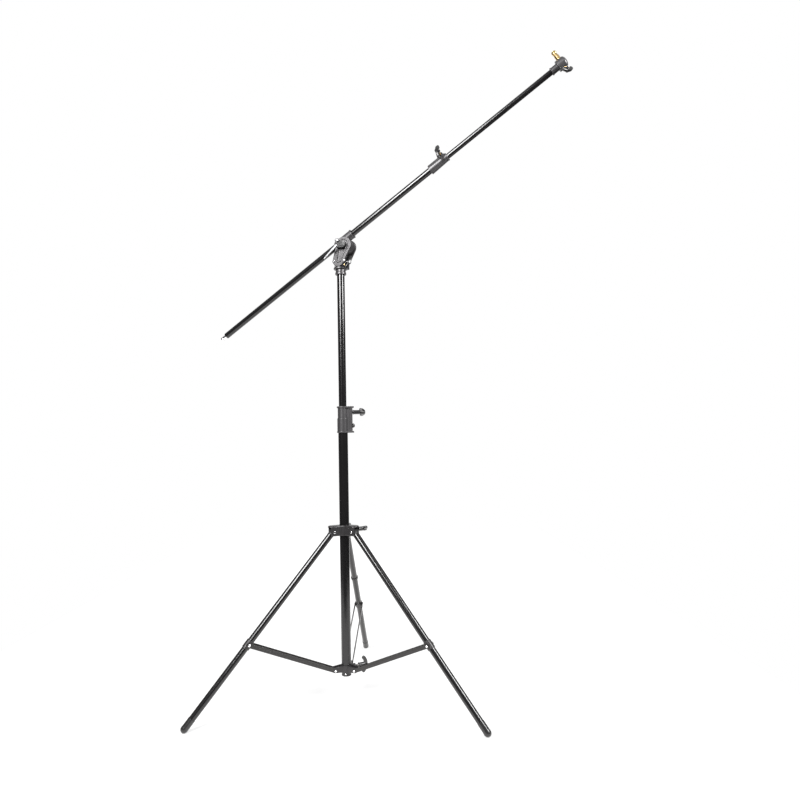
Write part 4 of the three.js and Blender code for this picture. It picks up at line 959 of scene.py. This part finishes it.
# %% Front cheek
CHEEK_BACK, CHEEK_FACE = -17.1, -26
front_cheek = belt(PIVOT_OFFSET, PIVOT_HEIGHT, 31, *CHEEK_FOOT, 22)
cheek_screw_places = {name: place(x, 0, 1502.5, 90) for name, x in (("back", -14.5), ("front", 27))}
button_place = place(PIVOT_OFFSET - 22, 0, PIVOT_HEIGHT + 17, 90)
lugs = Form()
screw_holes = Form()
for where in cheek_screw_places.values():
    lugs = lugs + rod(CHEEK_FACE, CHEEK_BACK, 6.5, 0.8).put(where)
    screw_holes = screw_holes + rod(-40, -6, 2.3, 0, 24).put(where)
ridge = belt(PIVOT_OFFSET - 4, PIVOT_HEIGHT - 9, 17.5, 5.5, 1507.5, 12)
hollow = belt(PIVOT_OFFSET - 5, PIVOT_HEIGHT - 14, 12.5, 6.5, 1510, 7.5)
rim = [(CHEEK_BACK, 0), (CHEEK_BACK, 24), (-27.2, 24), (-27.6, 21), (-26.4, 19), (-26.4, 0)]
cheek_form = (
    plate(front_cheek, CHEEK_FACE, CHEEK_BACK, 1.6)
    + turned(rim, 1).put(across_pivot)
    + rod(CHEEK_FACE, CHEEK_BACK, 9.5, 0.8).put(button_place)
    + plate(ridge, -28, -20, 2.2, 5)
    + lugs
)
cheek_cuts = (
    plate(hollow, -36, -23.4, 3.4, 6)
    + rod(-40, 0, AXLE_HOLE, 0, 32).put(across_pivot)
    + rod(-40, 0, 2.8, 0, 24).put(button_place)
    + rod(0, 40, 7.3, 0, 32).put(head_knob_place)
    + screw_holes
)
cast("front_cheek_plate", cheek_form, cheek_cuts, "head", "casting", "head_front_cheek")
cheek_screw = [(-28.7, 0), (-28.7, 2.6), (-27.8, 4), (-26.3, 4), (-26.3, 2), (-6, 2), (-6, 0)]
for name, where in cheek_screw_places.items():
    head_of_screw = turned(cheek_screw, 0.4, 32).put(where)
    piece("cheek_screw_head_" + name, head_of_screw, "head", "steel", "cheek_screw_" + name)

# %% [markdown]
# ## Axle, lever and plunger
# The axle carries the lever's hub in front and a hexagon head behind, which is only a rod with six
# sides. The lever's bar is a light grey die casting with a flat end; the plunger beside it is a
# polished button on a thin stem.

# %% Axle, lever and plunger
axle = rod(-39.2, 32, 5, 0.4, 40) + rod(27.3, 33.3, 9, 0.6, 6)
piece("axle_bolt", axle.put(across_pivot), "head", "steel", "tilt_axle", sharp=25)
ARM_ROOT, ARM_LENGTH, ARM_ANGLE = (-20.5, -5), 65, math.radians(221)
lever_hub = (
    rod(-41.5, -27.5, 14, 1.6).put(across)
    + rod(-42.3, -40, 9, 0.8).put(across)
    + plate(belt(0, 0, 13.7, *ARM_ROOT, 6.5), -41.5, -33.5, 1.5)
)
recess = rod(-39.5, 0, AXLE_HOLE, 0, 32).put(across)
cast("lever_hub_cap", lever_hub, recess, "lever", "knob", "tilt_lever_hub", at=pivot)
arm_end = (
    ARM_LENGTH * math.cos(ARM_ANGLE) + ARM_ROOT[0],
    ARM_LENGTH * math.sin(ARM_ANGLE) + ARM_ROOT[1],
)
arm = plate(belt(*ARM_ROOT, 4.5, *arm_end, 2.8), -45.8, -41.8, 1.2, 4)
piece("lever_bar", arm.put(pivot), "lever", "lever", "tilt_lever_arm", sharp=50)
button = [
    (-38.5, 0), (-38.5, 4), (-36.8, 6.6), (-33, 8), (-27.5, 8),
    (-27.5, 2.5), (CHEEK_BACK, 2.5), (CHEEK_BACK, 0),
]
button_form = turned(button, 0.6, 40).put(button_place)
piece("plunger_button", button_form, "plunger", "steel", "release_plunger")

# %% [markdown]
# ## Tilting block
# A disc between the cheeks, and over it the sleeve that the boom slides in: rods, joined and bored,
# and tilted with the boom.

# %% Tilting block
sleeve_axis = place(0, 0, PIVOT_OFFSET)
clamp_form = (
    rod(-16.3, 16.3, 26, 1).put(across)
    + rod(-30, 46, 16.3, 1).put(sleeve_axis)
    + rod(40, 46, 17.4, 0.8).put(sleeve_axis)
)
clamp_cuts = rod(-40, 60, 12, 0, 96).put(sleeve_axis) + rod(-20, 20, 5.5, 0, 32).put(across)
cast("boom_clamp_body", clamp_form, clamp_cuts, "tilt_block", "casting", "boom_clamp", at=tilted)

# %% [markdown]
# ## Boom
# Two drawn tubes, one inside the other, joined by a tapered cast sleeve with a rib along its top.
# The rib is a rod laid along the sleeve, half sunk: a flat one would mirror the lamp as a white
# patch.
# The bright stud at the low end takes a counterweight, so it is turned with a groove near its end.

# %% Boom tubes
piece("lower_boom_shell", pipe(-615, 440, 11.5, 10).put(boom), "boom", "boom", "lower_boom_tube")
piece("upper_boom_shell", pipe(30, 927, 9.5, 8).put(boom), "upper_boom", "boom", "upper_boom_tube")
stud = [
    (-640.3, 0), (-640.3, 7), (-634, 7), (-633.5, 5.6), (-630.5, 5.6), (-630, 7),
    (-615, 7), (-615, 9.7), (-589, 9.7), (-589, 0),
]
piece("tail_stud_pin", turned(stud, 0.5, 48).put(boom), "boom", "steel", "tail_stud")

# %% Boom sleeve
SLEEVE_START = 406
GRUB_PLACE = 474
knob_on_sleeve = boom.inverted() @ sleeve_knob_place
taper = [(SLEEVE_START, 0), (SLEEVE_START, 16.5), (478, 13.8), (478, 14.8), (482, 14.8), (482, 0)]
sleeve_form = (
    turned(taper, 0.7)
    + rod(SLEEVE_START, 466, 7.5, 1.5).put(place(0, 0, 12))
    + rod(0, 28, 9, 1).put(knob_on_sleeve)
)
sleeve_cuts = (
    rod(400, 440.3, 11.8, 0, 96)
    + rod(400, 490, 10, 0, 96)
    + rod(0, 40, SCREW_HOLE, 0, 32).put(knob_on_sleeve)
    + rod(0, 30, 2.1, 0, 24).put(place(GRUB_PLACE, 0, 0, dip=UP))
)
cast("sleeve_body", sleeve_form, sleeve_cuts, "boom", "casting", "boom_joint_sleeve", at=boom)
grub = [(9.8, 0), (9.8, 1.8), (15.1, 1.8), (15.1, 3.6), (18.4, 3.6), (20, 2.4), (20, 0)]
screw_head = turned(grub, 0.4, 32).put(place(GRUB_PLACE, 0, 0, dip=UP, on=boom))
piece("sleeve_screw_head", screw_head, "boom", "steel", "sleeve_clamp_screw")

# %% [markdown]
# ## Tip
# A domed barrel on the end of the boom holds the brass spigot, which is waisted for a receiver's
# screw. Barrel and socket are turned; the barrel is then bored across for the spigot.

# %% Tip
socket = [
    (907, 9.8), (907, 13.2), (911, 13.2), (911, 12), (931, 12), (931, 9), (937, 9),
    (937, 0), (927.3, 0), (927.3, 9.8), (907, 9.8),
]
piece("tip_socket_body", turned(socket, 0.5).put(boom), "upper_boom", "casting", "tip_socket")
dome = [(7 + 10 * math.sin(a), 19 * math.cos(a)) for a in np.linspace(0, math.pi / 2, 8)]
barrel_form = turned([(-17, 0), (-17, 19), (7, 19), *dome[1:-1], (17, 0)], 0.8)
barrel_cuts = (
    rod(-22, -10.8, 9.5, 0, 64)
    + rod(-8.3, 60, 8.45, 0, 64).put(upright)
    + rod(-22, 0, SCREW_HOLE, 0, 32).put(upright)
)
cast("tip_barrel_body", barrel_form, barrel_cuts, "tip", "casting", "tip_barrel", at=tip_place)
SHANK = 7.95  # radius of the standard 16 mm spigot, with its running clearance
spigot = [
    (-8, 0), (-8, SHANK), (36, SHANK), (37.2, 6.5), (44.8, 6.5),
    (46, SHANK), (54.8, SHANK), (56, 6.75), (56, 0),
]
piece("spigot_pin", turned(spigot, 0.4).put(tip_place @ upright), "spigot", "brass", "spigot")

# %% [markdown]
# ## Floor
# A white paper sweep that ends a little over a metre in front of the stand, because gloss black
# shows all that lies round it. Near the stand the camera sees less of the paper's glow, which
# leaves room for the lamps' light and the faint shadow; the object gets the same bounce throughout.

# %% Floor
FLOOR_GLOW_NEAR = 0.6
FRONT_EDGE = 1.1  # from the column to the sweep's edge, towards the camera
BACK_EDGE = 4
HALF_WIDTH = 1.6
camera_side = math.radians(-90 + STAND_FACING)
toward = Vector((math.cos(camera_side), math.sin(camera_side), 0))
sideways = Vector((-toward.y, toward.x, 0))
corners = [
    toward * reach + sideways * HALF_WIDTH * hand
    for reach, hand in ((FRONT_EDGE, 1), (FRONT_EDGE, -1), (-BACK_EDGE, -1), (-BACK_EDGE, 1))
]
floor_mesh = bpy.data.meshes.new("floor")
floor_mesh.from_pydata([(c.x, c.y, -FLOOR_DROP * MM) for c in corners], [], [(0, 1, 2, 3)])
floor = bpy.data.objects.new("floor", floor_mesh)
bpy.context.scene.collection.objects.link(floor)

paint = material("paper_floor")
seen = paint.node("ShaderNodeLightPath")["Is Camera Ray"]
grain = paint.noise(30, 3)
here = paint.node("ShaderNodeTexCoord")["Object"]
away = paint.node("ShaderNodeVectorMath", {"operation": "LENGTH"}, {0: here})["Value"]
fade = paint.ramp(away, 0.7, 2.2, FLOOR_GLOW_NEAR, 1.0)
PAPER, PAPER_GRAIN = (0.36, 0.36, 0.36), (0.34, 0.34, 0.34)
BOUNCE = (1.15, 1.13, 1.12)  # what the object gets back from the paper
floor_mesh.materials.append(surface(
    paint, Base_Color=paint.blend(grain * 0.1, PAPER, PAPER_GRAIN), Roughness=0.9,
    Specular_IOR_Level=0.0, Emission_Color=paint.blend(seen, BOUNCE, fade), Emission_Strength=1.0,
))

# %% [markdown]
# ## Room
# The camera sees plain white. The object sees a bright backdrop behind the stand and a dark room on
# the camera's side, which is what keeps the tubes black between their bright lines.

# %% World
world = bpy.data.worlds.new("studio")
bpy.context.scene.world = world
paint = Paint(world)
ray = paint.node("ShaderNodeLightPath")
direction = paint.node("ShaderNodeTexCoord")["Generated"]
DOT = {"operation": "DOT_PRODUCT"}
facing, height = (
    paint.node("ShaderNodeVectorMath", DOT, {0: direction, 1: way})["Value"]
    for way in (tuple(-toward), (0, 0, 1))
)
behind = paint.ramp(facing, 0.75, 0.95, 0.1, 1.0) + paint.ramp(height, 0.2, 0.9, 0.0, 0.5)
room, white = (
    paint.node("ShaderNodeBackground", {}, {"Color": (1, 1, 1, 1), "Strength": strength})
    for strength in (behind, 1.0)
)
shaders = {0: ray["Is Camera Ray"], 1: room["Background"], 2: white["Background"]}
both = paint.node("ShaderNodeMixShader", {}, shaders)
paint.output(both["Shader"], "ShaderNodeOutputWorld")
print("world", len(paint.tree.nodes), "nodes")

# %% [markdown]
# ## Lamps
# Two soft boxes draw the bright lines along the tubes. A wide box gives a broad line and a narrow
# one a thin line; the left one is rolled so that its line runs along the tilted boom too.

# %% Lamps
def lamp(name, azimuth, distance, height, size, power, aim, roll=0.0):
    """A soft box: azimuth in degrees from the camera's side, positive to the picture's right."""
    angle = camera_side + math.radians(azimuth)
    data = bpy.data.lights.new(name, "AREA")
    data.shape, data.size, data.size_y, data.energy = "RECTANGLE", size[0], size[1], power
    made = bpy.data.objects.new(name, data)
    made.location = (distance * math.cos(angle), distance * math.sin(angle), height)
    back = Vector(made.location) - Vector((0, 0, aim))
    made.rotation_mode = "QUATERNION"
    rolled = Quaternion((0, 0, 1), math.radians(roll))
    made.rotation_quaternion = back.to_track_quat("Z", "Y") @ rolled
    bpy.context.scene.collection.objects.link(made)
    print(name, power, "W")


lamp("left_box", -31, 2.7, 2.53, (1.1, 1.6), power=205, aim=1.55, roll=24)
lamp("right_box", 58, 2.6, 2.36, (0.8, 1.2), power=118, aim=1.6)

scene = bpy.context.scene
scene.view_settings.view_transform = "Standard"
